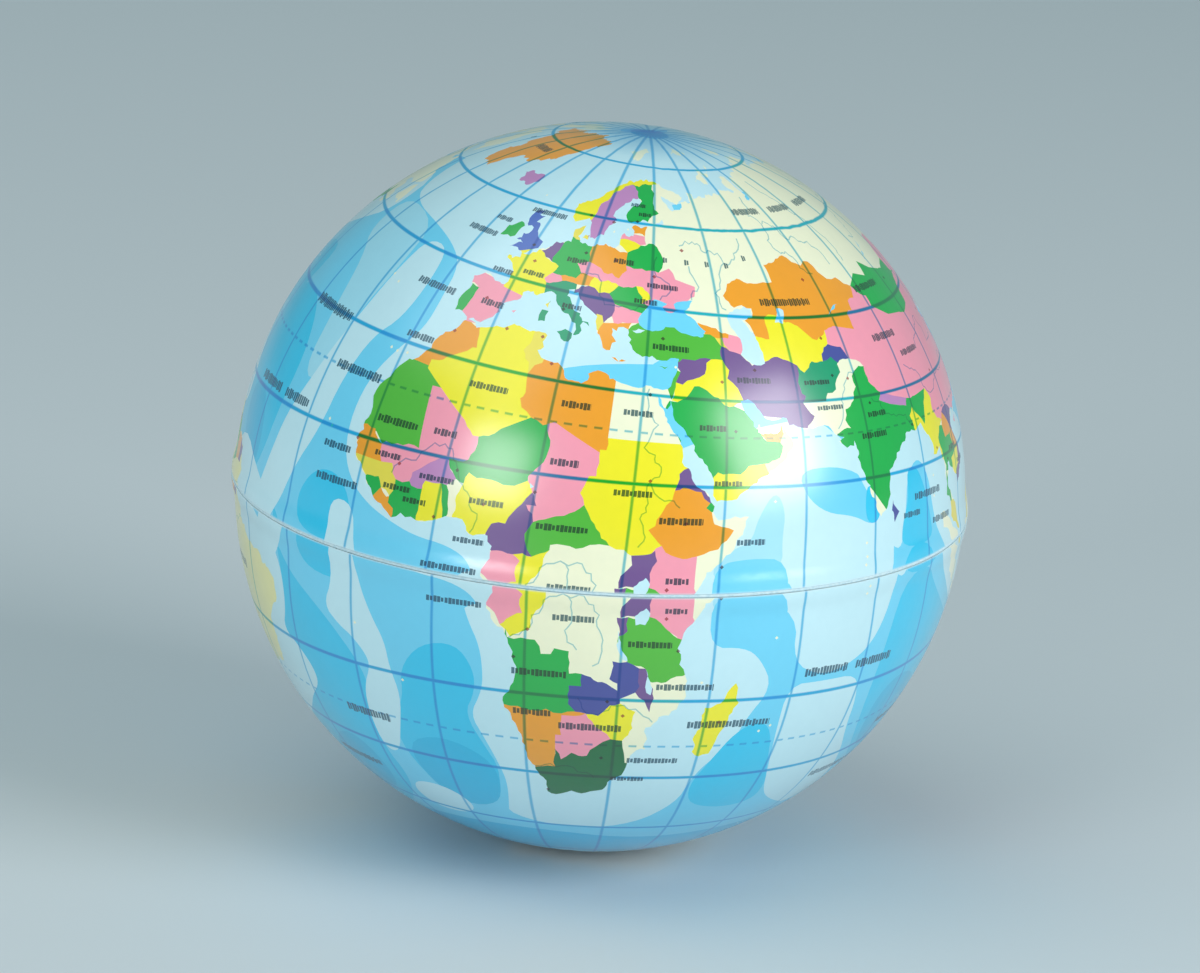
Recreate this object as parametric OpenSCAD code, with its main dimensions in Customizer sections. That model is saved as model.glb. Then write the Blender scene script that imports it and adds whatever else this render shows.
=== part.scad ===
// Squeeze ball printed as a globe: a soft foam core inside two printed half skins that meet on
// the equator. The origin is the ball's centre. +Z runs to the north pole, -Y to the prime
// meridian and +X to 90 degrees east. All sizes are in millimetres.

/* [Ball] */
// Diameter over the printed skins, away from the moulding ridge
ball_d = 76; // [63:1:100]
// Thickness of each printed skin
skin_t = 0.8; // [0.4:0.1:1.5]
// Clearance between a skin and the foam that it covers
skin_gap = 0.05; // [0.02:0.01:0.1]

/* [Equator] */
// Width of the bare foam line between the edges of the two skins
seam_w = 0.6; // [0.4:0.1:1.2]
// Height of the moulding ridge over the ball's surface
ridge_h = 0.4; // [0.3:0.1:1]
// Width of the moulding ridge where it runs out into the ball's surface
ridge_w = 4; // [3:0.5:6]
// Depth of the bare foam line below the crest of the ridge
seam_depth = 0.1; // [0:0.05:0.3]

/* [Hidden] */

$fn = 180;
ball_r = ball_d / 2;
core_inset = skin_t + skin_gap;
crest_r = ball_r + ridge_h;

// The ridge is a ring of round section. These are the section's radius, which gives the ridge
// its height and width, and the radius of the circle that the section's centre runs on.
ridge_section_r = (pow(ridge_w / 2, 2) + pow(ridge_h, 2)) / (2 * ridge_h);
ridge_ring_r = crest_r - ridge_section_r;

// Larger than the ball in every direction, for cutting it into halves
cut_size = ball_d + 4 * ridge_h;

// The moulded shape, ball and ridge together, taken in from the outside by an even depth
module moulded_ball(inset) {
    sphere(r = ball_r - inset);
    rotate_extrude()
        translate([ridge_ring_r, 0])
            circle(r = ridge_section_r - inset);
}

// The upper half skin: a shell of even thickness that stops short of the equator
module half_skin() {
    difference() {
        moulded_ball(0);
        moulded_ball(skin_t);
        translate([0, 0, seam_w / 2 - cut_size / 2])
            cube(cut_size, center = true);
    }
}

// The foam fills both skins, and a thin rib of it shows as the bare line between their edges
module foam_core() {
    color("ivory") {
        moulded_ball(core_inset);
        cylinder(r = crest_r - seam_depth, h = seam_w - 2 * skin_gap, center = true);
    }
}

module north_skin() {
    color("khaki") half_skin();
}

module south_skin() {
    color("skyblue") mirror([0, 0, 1]) half_skin();
}

foam_core();
north_skin();
south_skin();
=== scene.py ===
import bpy
import math
import numpy as np
from mathutils import Vector, Matrix
from mathutils.geometry import delaunay_2d_cdt


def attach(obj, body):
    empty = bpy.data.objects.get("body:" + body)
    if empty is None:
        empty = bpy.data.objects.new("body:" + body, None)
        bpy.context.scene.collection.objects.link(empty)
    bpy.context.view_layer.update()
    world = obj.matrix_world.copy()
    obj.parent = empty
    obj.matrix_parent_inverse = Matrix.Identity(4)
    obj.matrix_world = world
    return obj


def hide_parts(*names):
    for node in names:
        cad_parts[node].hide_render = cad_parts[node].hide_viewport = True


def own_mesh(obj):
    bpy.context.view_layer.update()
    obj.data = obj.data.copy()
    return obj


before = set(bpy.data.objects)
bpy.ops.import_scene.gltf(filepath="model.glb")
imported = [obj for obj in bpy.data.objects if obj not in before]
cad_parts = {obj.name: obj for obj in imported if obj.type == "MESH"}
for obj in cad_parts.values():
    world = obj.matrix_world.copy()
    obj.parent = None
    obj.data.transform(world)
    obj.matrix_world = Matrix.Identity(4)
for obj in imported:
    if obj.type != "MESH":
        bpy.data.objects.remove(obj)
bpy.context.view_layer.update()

# --- Foam core ---------------------------------------------------------------------------------
# The ball's body: slow-rise polyurethane foam, cast in a two-part mould that leaves a low ridge
# round the equator. A thin rib of bare foam shows between the two halves of the skin.
BALL_R = 38.0
SKIN_T = 0.8
SKIN_GAP = 0.05
SEAM_HALF = 0.2
RIDGE_RING_R = 33.16
RIDGE_SECTION_R = 5.2
RIDGE_FILLET = 0.05
RIB_R = 38.3
RIB_HALF = 0.16
RIB_ROUND = 0.05
CORE_ROWS = 30
CORE_SEGMENTS = 180
MM = 0.001


def outer_radius(latitude):
    """Distance from the centre to the skin, in mm, at a latitude in radians."""
    across = RIDGE_RING_R * math.sin(latitude)
    section = RIDGE_SECTION_R**2 - across**2
    ridge = RIDGE_RING_R * math.cos(latitude)
    ridge += math.sqrt(section) if section > 0 else -math.sqrt(-section)
    step = ridge - BALL_R
    return BALL_R + 0.5 * (step + math.sqrt(step * step + RIDGE_FILLET))


def new_piece(name, vertices, faces):
    """A mesh object from vertices in mm and faces."""
    mesh = bpy.data.meshes.new(name)
    mesh.from_pydata([[c * MM for c in v] for v in vertices], [], faces)
    mesh.update()
    piece = bpy.data.objects.new(name, mesh)
    bpy.context.scene.collection.objects.link(piece)
    return piece


def revolved(profile, segments):
    """Vertices and faces of a closed solid of revolution; the profile's ends lie on the axis."""
    vertices = [(0, 0, profile[0][1])]
    for radius, height in profile[1:-1]:
        for i in range(segments):
            turn = 2 * math.pi * i / segments
            vertices.append((radius * math.sin(turn), -radius * math.cos(turn), height))
    vertices.append((0, 0, profile[-1][1]))
    rows = len(profile) - 2
    last = len(vertices) - 1
    faces = []
    for i in range(segments):
        j = (i + 1) % segments
        faces.append((0, 1 + j, 1 + i))
        for row in range(rows - 1):
            a = 1 + row * segments
            b = a + segments
            faces.append((a + i, a + j, b + j, b + i))
        top = 1 + (rows - 1) * segments
        faces.append((top + i, top + j, last))
    return vertices, faces


core_profile = []
for step in range(-CORE_ROWS, CORE_ROWS + 1):
    latitude = math.radians(step * 90 / CORE_ROWS)
    radius = outer_radius(latitude) - SKIN_T - SKIN_GAP
    if step == 0:
        for height in (-RIB_HALF, RIB_HALF):
            rib = [(radius, height), (RIB_R - RIB_ROUND, height), (RIB_R, height * 0.8)]
            core_profile += rib if height < 0 else rib[::-1]
    else:
        core_profile.append((radius * math.cos(latitude), radius * math.sin(latitude)))
core_profile[0] = (0, core_profile[0][1])
core_profile[-1] = (0, core_profile[-1][1])
core_vertices, core_faces = revolved(core_profile, CORE_SEGMENTS)
foam_core = new_piece("ball_core", core_vertices, core_faces)
foam_core.data.polygons.foreach_set("use_smooth", [True] * len(foam_core.data.polygons))

foam = bpy.data.materials.new("bare foam")
foam.use_nodes = True
foam_nodes = foam.node_tree.nodes
foam_links = foam.node_tree.links
foam_surface = foam_nodes["Principled BSDF"]
foam_surface.inputs["Roughness"].default_value = 0.75
foam_place = foam_nodes.new("ShaderNodeTexCoord")
foam_cells = foam_nodes.new("ShaderNodeTexVoronoi")
foam_cells.inputs["Scale"].default_value = 2600.0
foam_links.new(foam_place.outputs["Object"], foam_cells.inputs["Vector"])
foam_tint = foam_nodes.new("ShaderNodeMix")
foam_tint.data_type = "RGBA"
foam_tint.inputs["A"].default_value = (0.50, 0.70, 0.78, 1)
foam_tint.inputs["B"].default_value = (0.70, 0.84, 0.88, 1)
foam_links.new(foam_cells.outputs["Distance"], foam_tint.inputs["Factor"])
foam_links.new(foam_tint.outputs["Result"], foam_surface.inputs["Base Color"])
foam_bump = foam_nodes.new("ShaderNodeBump")
foam_bump.inputs["Strength"].default_value = 0.4
foam_bump.inputs["Distance"].default_value = 0.0001
foam_links.new(foam_cells.outputs["Distance"], foam_bump.inputs["Height"])
foam_links.new(foam_bump.outputs["Normal"], foam_surface.inputs["Normal"])
foam_core.data.materials.append(foam)
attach(foam_core, "core")
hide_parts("foam_core")

# --- North half of the printed skin ---------------------------------------------------------------
# A thin elastic skin, moulded onto the foam as a bowl and varnished. A political map of the world is
# printed on it: tinted sea, coloured countries, and cyan lines every 15 degrees.

# The inks, as sRGB values from 0 to 255.
INKS = {
    "y": (250, 238, 24),
    "Y": (240, 222, 74),
    "o": (248, 162, 30),
    "p": (254, 158, 178),
    "m": (196, 136, 190),
    "v": (118, 84, 144),
    "n": (70, 78, 156),
    "u": (66, 104, 190),
    "g": (10, 176, 70),
    "l": (82, 186, 52),
    "d": (0, 108, 52),
    "t": (0, 156, 108),
    "c": (250, 248, 214),
    "k": (246, 238, 166),
    "w": (250, 252, 248),
    "1": (202, 238, 247),
    "5": (166, 227, 245),
    "2": (112, 214, 247),
    "3": (40, 202, 242),
    "4": (0, 188, 232),
}

# Land, each outline opening with its ink. Points are longitude,latitude in degrees.
LAND = """
c -6,35.8 -2.9,35.3 -1,35.8 1.5,36.5 3,36.9 7.5,37 9.8,37.3 11,37 10.5,35.8 11,35 10,34.3 11.1,33.2
13,32.9 15.3,32.3 15.8,31.3 18,30.5 19.1,30.3 20.1,31 20,32.1 21.6,32.9 23.1,32.6 25,31.6 27,31.2 29,30.9
30.3,31.5 31.2,31.5 32.3,31.2 32.6,29.9 32.7,29 33.6,27.8 34,26.6 35.1,24.7 35.6,23.9 36.9,22 37.3,20.9
37.3,19 38.5,18 39.3,15.9 40.8,14.6 42.5,12.6 43.2,11.9 43,11 44,9.6 46,9.9 47.8,10 49.3,10.2 48.8,8.6
47.4,6.4 45.8,4 44,2 42.4,0.2 41.6,-1.2 41,-2 40.2,-2.7 39.5,-4.5 38.9,-6 39.5,-7 39.4,-8.7 40.5,-10.5
40.6,-12.5 40.8,-14.7 39.8,-16.4 37,-17.8 35,-19.8 34.8,-20.5 35.5,-22 35.4,-24 33,-25.3 32.7,-26.5
32.3,-28.5 31,-30 29.5,-31.8 27.5,-33.3 25.7,-33.9 24,-34 22,-34.1 20,-34.8 18.4,-34.2 18.3,-32.7
17.8,-31 16.5,-28.6 15.2,-26.8 14.5,-24 14.4,-22.5 13,-20 11.8,-17.9 12,-15.5 13.5,-12.5 13.8,-10.7 13,-9
12.3,-6.2 11.5,-4.5 9.5,-2.3 8.8,-0.7 9.4,0.5 9.8,3 8.9,4.5 7.2,4.4 6,4.3 4.5,6.3 2.5,6.3 1,5.9 -2,4.8
-4,5.2 -7.5,4.4 -9.2,5.6 -11.5,6.9 -13.2,8.5 -13.7,9.7 -15,11 -16.7,12.3 -16.8,13.5 -17.4,14.7 -16.5,16
-16.2,18.5 -16.3,19.5 -17,21 -16.9,21.9 -16,23.7 -14.9,25.5 -14.4,26.3 -13,27.8 -11,28.9 -9.7,30.3
-9.8,31.5 -8.5,33.3 -6.8,34.1
y 49.3,-12 50.4,-15.5 49.6,-16.5 49,-19 47.7,-22.5 47,-25 45.2,-25.5 43.8,-24.5 43.4,-22 44.4,-20
44.2,-17.5 44.5,-16.2 46.5,-15.6 48,-13.6
c 32.3,31.2 34.2,31.3 34.9,32.5 35.5,33.9 35.9,35.5 36.1,36.7 34.5,36.7 33,36.1 31,36.7 30.5,36.4
29.2,36.3 28,36.8 27.3,37.3 26.5,38.4 26.8,39 26.1,39.6 26.2,40.1 26,40.6 25,40.9 24,40.7 23.8,40
22.8,40.4 23,39.2 24,38.2 23.3,37.9 23.1,36.6 22.4,36.5 21.7,36.8 21.3,37.8 20.7,38.8 19.9,39.7 19.4,41
19.5,41.9 18.4,42.5 16.4,43.4 15.2,44.2 14.5,45.3 13.6,45 13.6,45.7 12.4,45.4 12.4,44.3 13.5,43.6
14.2,42.5 15.5,41.9 16.1,41.8 16,41.4 18,40.6 18.4,39.9 17,40.5 16.6,39.8 17.1,39 16.1,38 15.7,38 16,39
15.6,40 14.4,40.7 12.9,41.3 11.8,42.1 10.5,43 10.1,44 8.8,44.4 7.5,43.8 6.2,43.1 4,43.5 3.1,43 3.2,41.9
2,41.3 0.7,40.7 -0.3,39.5 0.2,38.8 -0.7,37.7 -2.1,36.8 -4.4,36.7 -5.5,36 -6.4,36.8 -7.4,37.2 -8.9,37
-9.4,38.7 -8.8,40.5 -8.9,42.8 -9.2,43.2 -7.9,43.7 -4,43.5 -1.6,43.4 -1.2,44.8 -1.2,46 -2.5,47.3 -4.5,48
-4.5,48.6 -2,48.7 -1.5,48.7 -1.8,49.6 0.2,49.6 1.6,50.4 1.8,51 3.3,51.4 4.5,52.3 5,53.3 7,53.6 8.6,53.9
8.5,55 8.1,56.5 9.8,57.4 10.6,57.7 10.4,56.4 9.7,55.3 10.8,54.3 12.3,54.3 14.2,53.9 16.5,54.5 18.6,54.7
19.8,54.4 21,55.3 21,57 21.7,57.6 23.2,57 24.3,57.3 24.4,58.3 23.5,58.9 24.5,59.5 28,59.6 30,60 28,60.5
25,60.2 23,59.9 21.4,60.8 21.3,62 22.5,63.5 25.3,65 24.2,65.8 22,65.5 21.3,64.5 19,63.2 17.4,61.8
17.2,60.7 18.8,59.9 17.7,58.9 16.6,57.8 16.3,56.5 14.7,56 14.2,55.4 12.9,55.5 12.6,56.3 11.9,57.7 11,59
10.6,59.3 9.6,58.9 7,58 5.6,58.9 5,60.5 5,62 7,63 9.5,63.8 11.5,65 13,66.5 14.8,68 17.5,69 20,70
23.5,70.8 26,71.1 29,70.7 31,70.3 33,69.4 37,68.7 41,67.2 40,66.3 35,66.4 32.5,67 34.5,65 34.8,64.4 38,64
40,64.7 40,66 42,66.4 44,66 44,67.5 43.5,68.6 46,68.2 46,67 49,67.8 54,68.3 57,68.6 60,68.4 61,69.5
64,69.3 67,68.8 69,68.9 67,70 67,71.5 69,73 72.5,73 72.5,71 72.8,69 73.5,67.8 71.5,66.5 74,66.8 74.5,68.5
73.5,71 75,72.8 78,72.3 81,73.5 87,75 93,76 100,76.5 104,77.7 108,76.7 113,75.5 112,74 107,73 113,73.7
118,73.2 124,73.5 128,72.5 129.5,71 133,71.6 137,71.4 140,72.5 146,72.3 152,71 160,70 161,69.3 168,69.9
171,70 176,69.7 180,69 185,67 190,66 186,65 180,65 178,64.5 177,62.5 172,61 168,60.5 164,60 163,58 163,56
162,54.8 160,53 157,51 156,53 155.6,57 159,60 163.5,61.5 164,62.5 160,61.5 156,61.5 154,59.5 149,59.5
143,59.3 140,57.8 135.5,54.8 138,53.8 141,53.2 140.5,50 140,48 137,45.5 135,43.5 132,43 130.5,42.3
129.7,41 127.7,39.8 127.5,39.2 129.3,37 129.4,35.5 127.5,34.6 126.3,34.7 126.7,36.8 125,38 124.7,39.6
121.5,39 122,40.5 119.5,39.8 117.7,39 118.8,37.5 122.5,37.2 120.3,36.1 119.3,35 120.8,33 121.9,31.5
120.5,30.3 122,29.5 120,26.5 118.5,24.5 116.5,23 114,22.4 111.5,21.6 110.4,20.4 109.8,21.5 108.2,21.6
106.6,20.2 105.8,18.9 107,17 108.8,15.3 109.3,13 109,11.5 107,10.4 106.5,9.5 105,8.7 104.9,10.1
103.4,10.7 102.5,12 101,12.7 100.9,13.5 100,13.3 99.5,11.2 99.2,9.3 100.3,8.4 101.3,6.9 102.3,6.2
103.4,4.6 103.5,2.7 104.2,1.4 103.4,1.4 101.3,2.9 100.4,5.5 100.1,6.6 98.3,8 98.7,10.5 98.6,13 97.7,15
97.2,17 95.4,15.8 94.3,16 94.6,18 93.6,19.8 92,21.5 91.5,22.6 90,22 87.8,21.9 85.6,21.5 85,20.2 83.4,19.5
80.9,17 79.3,15.7 79,13.5 78.7,11 78.2,9.8 77.3,8.9 76.4,8.1 75.2,10 74,12.3 73,14.8 72.2,17 71.6,19
71.6,21.2 71.3,22.1 71.1,21.1 69.4,20.9 67.8,22.2 69.1,22.9 67.4,23.4 66.6,24.2 65.8,25.2 64,25.3
61.6,25.1 59,25.4 57.3,25.7 56.9,27 55.5,26.9 54,26.6 52,27.7 51,28.9 50,30.1 48.6,30.2 47.9,30 48.2,28.9
49.3,27.3 50.2,26.4 50.8,25 51.2,26 51.6,25 51.8,24.1 54,24.2 56.1,26 56.4,24.7 57,23.9 57.8,22.7
56.6,20.7 55.4,19.1 54,18 52.6,17 50.6,15.7 48.4,14.4 45.1,12.8 43.5,12.7 42.8,14.8 42.6,16.7 41,19
39.2,21 38.8,22.5 37.2,24.8 35.3,27.9 34.8,29.5 34.3,27.8 33.3,28.7 32.6,29.9
u -5.7,50.1 -3.5,50.3 1.4,51.2 1.7,52.6 0.3,53 -1.5,55 -2.2,56 -3.3,56 -2,57.6 -4,57.7 -3.2,58.6 -5,58.6
-6,57 -5.5,55.7 -4.8,54.8 -3,54.8 -3.2,53.4 -4.5,53.2 -4.2,52.3 -5.2,51.8 -3,51.4 -5,50.5
g -6.2,52.2 -10.2,51.6 -9.8,53.8 -8.5,54.3 -7.3,55.3 -5.6,54.6 -6.2,53.3
m -22.5,63.9 -19,63.4 -14.5,64.4 -14.8,65.8 -16.5,66.4 -20.5,66 -22.5,66.4 -24.3,65.5 -22,64.5
Y 11,55.2 12.5,55 12.6,56 11.5,55.9
t 8.3,39 8.3,41 9.7,41 9.6,39.2
Y 8.6,42 9.5,42.9 9.3,41.5
t 12.5,38 15.5,38.2 15.1,36.7
o 23.6,35.5 26.3,35.2 24.8,34.9
l 32.4,35 34.4,35.6 33.5,34.7
p 2.4,39.5 3.3,39.8 3,39.3
c 11,79.5 17,80 27,80.2 22,78 16.5,76.7
c 51.5,71.5 55,73.5 58,75.5 68,76.8 66,76 58,74 57.5,70.8
c 48,80.3 58,81.5 64,80.8 55,80
c 95,79.5 98,81 105,79 100,78.2
c 137,75.5 143,76 150,75.2 142,73.3
c 179,71 182,71.5 181,70.9
n 79.2,8.8 79.6,10.5 81.2,8.3 79.9,6.7
c 95.3,5.6 97.5,5.2 100.5,2.3 103.5,-0.5 106,-3 105.8,-5.8 104.3,-5.6 101,-2.5 98.7,1.7
c 105.3,-6.7 108.5,-6.6 110.8,-6.4 114.5,-7.7 114.3,-8.6 108,-7.8
c 109,1.5 110.2,1.6 113,3.2 116.7,7 119.2,5.2 117.7,3.5 119,1 117.5,0 116.3,-3.8 114.5,-4 111.5,-3.3
110,-1.3
c 119.5,-5.5 118.8,-2.8 119.8,0.5 121,1.3 125,1.5 124,0.4 120.3,0.5 121,-1 123.3,-0.9 121.5,-2 123,-4.7
121,-2.8 120.3,-5.5
c 115,-8.3 118,-8.3 121,-8.4 120,-9 116,-8.9
c 123.5,-10.3 127,-8.5 125,-9.3
c 127.5,2 128.8,-0.5 128,-1 127.4,1
c 126.5,-3.2 130.5,-3 128,-3.6
t 120.4,16 120.8,18.5 122.2,18.4 121.6,15.8 124,12.8 120.7,13.8
t 122,7 123.5,8.6 125.5,9.8 126.5,7.5 125.4,5.7 124,7
t 122,11.8 125.3,12.3 125,10.2 123,9.3
t 117.2,8.4 119.6,11.3 118.5,9.3
l 120.2,23 121.5,25.2 121,22
p 108.7,19.2 110.5,20 110.3,18.5
y 131,34 132.5,35.5 135.8,35.6 137,37.3 139,38 140,40 140.2,41.3 141.5,41.3 142,39.5 141,38.2 140.8,35.8
139,34.8 137,34.7 135.8,33.5 134,34.7
y 140,41.6 141.8,45.4 145.3,43.9 143.2,42
y 130,33.5 131.8,33.4 131.3,31.3 130.2,31.3
y 132.2,33.5 134.5,34.2 133.5,32.8
c 142,46 142,54.3 143.2,52 144.5,49 143,49 143.5,46.5
c 131,-0.8 134,-0.8 135.3,-3.3 138,-1.8 142,-2.8 145.8,-5.3 147.8,-6.5 150.6,-10.5 147,-9.6 143.5,-8.2
141,-9.1 138,-8.3 138,-5.5 133,-4 132,-2.8
g 148.5,-5.7 152,-4.2 151,-6
p 155,-6.5 157,-7.5 160.5,-10 158,-9
p 114,-22 114.2,-26.5 115.7,-32 115,-34.3 118,-35 123.5,-33.9 126,-32.3 131,-31.5 134,-32.8 135.7,-34.9
137.8,-33 138.2,-35.5 140,-37.8 143.5,-38.8 146.3,-39 150,-37.5 151,-34 153,-31 153.5,-28.5 153,-25.5
150.8,-23.3 148.7,-20.2 146,-18.8 145.3,-15.5 143.6,-14.2 142.5,-10.8 141.6,-14 140.8,-17.4 139,-17.4
135.6,-15 136.9,-12.2 132.7,-11.4 130.7,-12.6 129.6,-15 126.8,-14 124,-16.3 122.2,-18.1 119,-20
116.5,-20.7
p 144.7,-40.8 148.2,-40.9 147.9,-43 146,-43.6
y 172.8,-34.5 174.7,-36.5 178.4,-37.7 176.8,-40 175.2,-41.6 175,-40 173.8,-39.3 174.7,-38
y 172.7,-40.6 174.2,-41.7 171,-44.5 170.3,-46 168.3,-46.7 166.6,-45.8 170.8,-42.8
o 164,-20.2 167,-22.3 165,-21.7
c -168,65.6 -164,66.5 -162,66.2 -166,68.3 -163,69.5 -156.5,71.3 -150,70.5 -141,69.7 -135,69.2 -129,70
-124,69.6 -115,68.8 -114,68 -108,68 -102,67.8 -96,67.8 -95.5,69 -96,71 -94,72 -92,71 -91,69.5 -88,68.8
-85.5,69.7 -82,69.8 -81.5,68.5 -84,66.5 -87,65.4 -87.5,64.5 -92,62.8 -94.7,60.5 -94.8,59 -92.5,57
-88,56.5 -85,55.3 -82.3,55.2 -82.2,53 -80,51.3 -78.8,52 -79.5,54.5 -77,56 -77.2,58 -78.5,59 -77.5,60
-78,62.3 -74.5,62.2 -71,61.2 -69.5,59 -67,58.3 -64.5,60.3 -62,58 -61,55.8 -57.5,54.6 -56,52.5 -58.8,51.2
-62,50.2 -66.5,50.2 -69,48.8 -70.5,47 -66,49.1 -64.5,48.8 -65,47.2 -61.8,45.7 -60,46.3 -61.5,45.2
-65.7,43.6 -66,44.9 -64.5,45.7 -67,45 -70,43.8 -70.7,42 -70,41.7 -74,40.7 -75.5,39 -76,37 -75.6,35.2
-78,33.9 -81,32 -81.4,30.5 -80.1,27 -80.4,25.2 -81.8,26 -82.8,28 -84,30 -86,30.4 -89,30.3 -89.5,29.2
-91.5,29.5 -94.5,29.4 -97.2,27.8 -97.5,25 -97.8,22.3 -96.2,19.2 -94.5,18.2 -91.5,18.6 -90.4,20.8 -87,21.5
-87.5,19 -88.5,16.5 -86,15.8 -83.3,15 -83.7,11 -82.2,9.1 -80,9.2 -78,9.4 -77.4,8.6 -77.9,7.2 -79.5,8.8
-80.4,7.4 -82.8,8.2 -85.8,10.2 -87.6,13 -91.5,14 -94.5,16.2 -96.5,15.7 -101.5,17.6 -105.3,19.7
-105.5,21.5 -108.5,25.3 -110.5,27.5 -112.8,30.2 -114.8,31.7 -113.5,29 -111.2,26 -109.7,23.2 -112,24.7
-114.8,27.8 -115.8,30.2 -117.2,32.7 -120.5,34.5 -122.4,37.5 -124.2,40.5 -124,46.2 -124.6,48.3 -122.8,49
-127.5,51 -130.3,54.5 -133.5,57 -136.5,58.3 -141,59.9 -146,60.8 -149,59.8 -152,59.2 -151,61 -154,59.2
-158,56.5 -163.5,54.8 -158.5,57.8 -157.5,58.7 -162,58.7 -165.5,61.5 -164.8,63 -161,64 -165,64.5
k -77.4,8.6 -75.5,10.6 -72,12 -71.5,10.8 -70,12 -68,10.5 -62,10.6 -60.5,8.5 -57,6 -52,5 -50,1.8
-50.5,-0.5 -48,-0.9 -44.5,-2.7 -41,-2.9 -37,-4.8 -35.2,-6 -34.9,-8.2 -37,-11 -39,-13.5 -39.3,-18 -41,-22
-44.5,-23.2 -48.5,-26 -49,-28.7 -52,-32.5 -54.5,-34.8 -58,-34.2 -57,-36.5 -58,-38.3 -62,-39 -65,-41
-63.7,-42.5 -67.3,-45.8 -65.8,-47.5 -69,-50.5 -68.4,-52.4 -71,-53.8 -74.3,-52.5 -75.5,-49 -75.5,-46.8
-73,-44 -73.6,-40 -73.5,-37 -71.5,-33 -71.5,-29 -70.3,-22 -70.4,-18.4 -76,-14.2 -79.5,-8 -81.2,-6 -80,-3
-81,-1 -80,0.8 -78.8,1.6 -77.3,4 -77.5,7
l -71,-53.8 -68.5,-52.8 -65.3,-54.7 -68.5,-55.4 -72,-54.5
o -73,78.2 -68,80 -60,81 -45,81.4 -33,81.8 -22,81.2 -10,80.4 -14,78.6 -18,76 -21,73 -22,70.8 -27,69
-33,68.5 -40,66.8 -43,63 -48,63.6 -52,65.6 -53.5,68 -51,69.5 -54.5,71 -58,75 -68,76
c -90,76.5 -80,76.2 -76,78.5 -72,80 -62,82.5 -75,83 -88,82 -92,81 -87,79
c -96,80 -90,81.3 -88,79.5 -93,78.3
c -95,75 -88,74.5 -80,74.7 -81,75.8 -92,76.5
c -80,73.7 -76,72.7 -68,70.3 -62,66.5 -64,65 -66,62 -72,63.5 -78,64.5 -73,66.5 -73,68.2 -80,70 -89,70.5
-89,73
c -100,73.8 -90,74 -93,72 -102,71.5
c -118,71 -112,73 -105,73.3 -105,70 -102,69 -116,69.2
c -125,72 -121,74.4 -115,73.3 -121,71.3
c -117,76 -106,75.8 -108,74.8 -116,75
c -87,64 -83,65.8 -81,64 -85,63
c -59.3,47.7 -56,51.5 -53.5,49 -53,46.8 -56,47
c -128,50.8 -124,48.4 -125.5,48.8
g -85,22 -82,23.1 -77,22 -74.2,20.2 -77.5,19.9 -78,21
y -74.4,18.4 -73,19.9 -69.5,19.3 -68.5,18.2 -71.5,17.8
p -78.3,18.4 -76.3,18.2 -77,17.8
o -67.2,18.4 -65.7,18.4 -66,17.9
u -61,-51.6 -58,-51.5 -59,-52.3
g -156,20.2 -155,19.6 -155.7,19
w -180,-78.5 -165,-78.3 -158,-77 -150,-76.5 -140,-75 -125,-73.5 -110,-74.5 -100,-72.5 -90,-73 -80,-73
-72,-71.5 -67,-67.5 -60,-64 -57,-63.3 -61,-66.5 -62,-71 -60,-74.5 -50,-77.5 -38,-78 -28,-76 -20,-73.5
-10,-71 0,-69.8 12,-70 25,-70 35,-69 45,-67.5 55,-66 68,-68 72,-69.5 80,-67.5 95,-66.5 110,-66 125,-66.5
138,-66.3 150,-68.5 162,-70 170,-71.5 165,-75 163,-78 180,-78.5 180,-91 -180,-91
"""

# Small islands, as longitude,latitude of a dot.
ISLETS = """
-17.8,28.5 -16.2,28.3 -14,28.5 -24.5,15.8 -23.5,15 -28,38.5 -25.5,37.7 54,12.5 43.4,-11.8 44.4,-12.3
57.5,-20.2 55.5,-21.1 55.5,-4.7 73,4.2 73.2,2 72.8,0.8 69,-49.2 -36.5,-54.4 -14.3,-8 -5.7,-16 178,-17.8
179,-16.7 167,-15.5 168,-17.5 -172,-13.8 -149.5,-17.6 -157.9,21.5 -160,22.1 144.8,13.5 134.5,7.5 158,7
171,7.1 173,1.4 -91,-0.6 -90,-0.4 -61,15.5 -61,14 -59.5,13.2 -61.5,16.3 -61.3,10.4 -64.7,32.3 -77.5,24.5
-76,23.5 93,12.5 92.7,9 -176,52 -171,53 -166,54 -7,62 -1.2,60.3 -6.5,58.2 18.8,57.5 22.5,58.4 127.8,26.5
-109.3,-27.1 -153,57.5 35.5,35.2
"""

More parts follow.
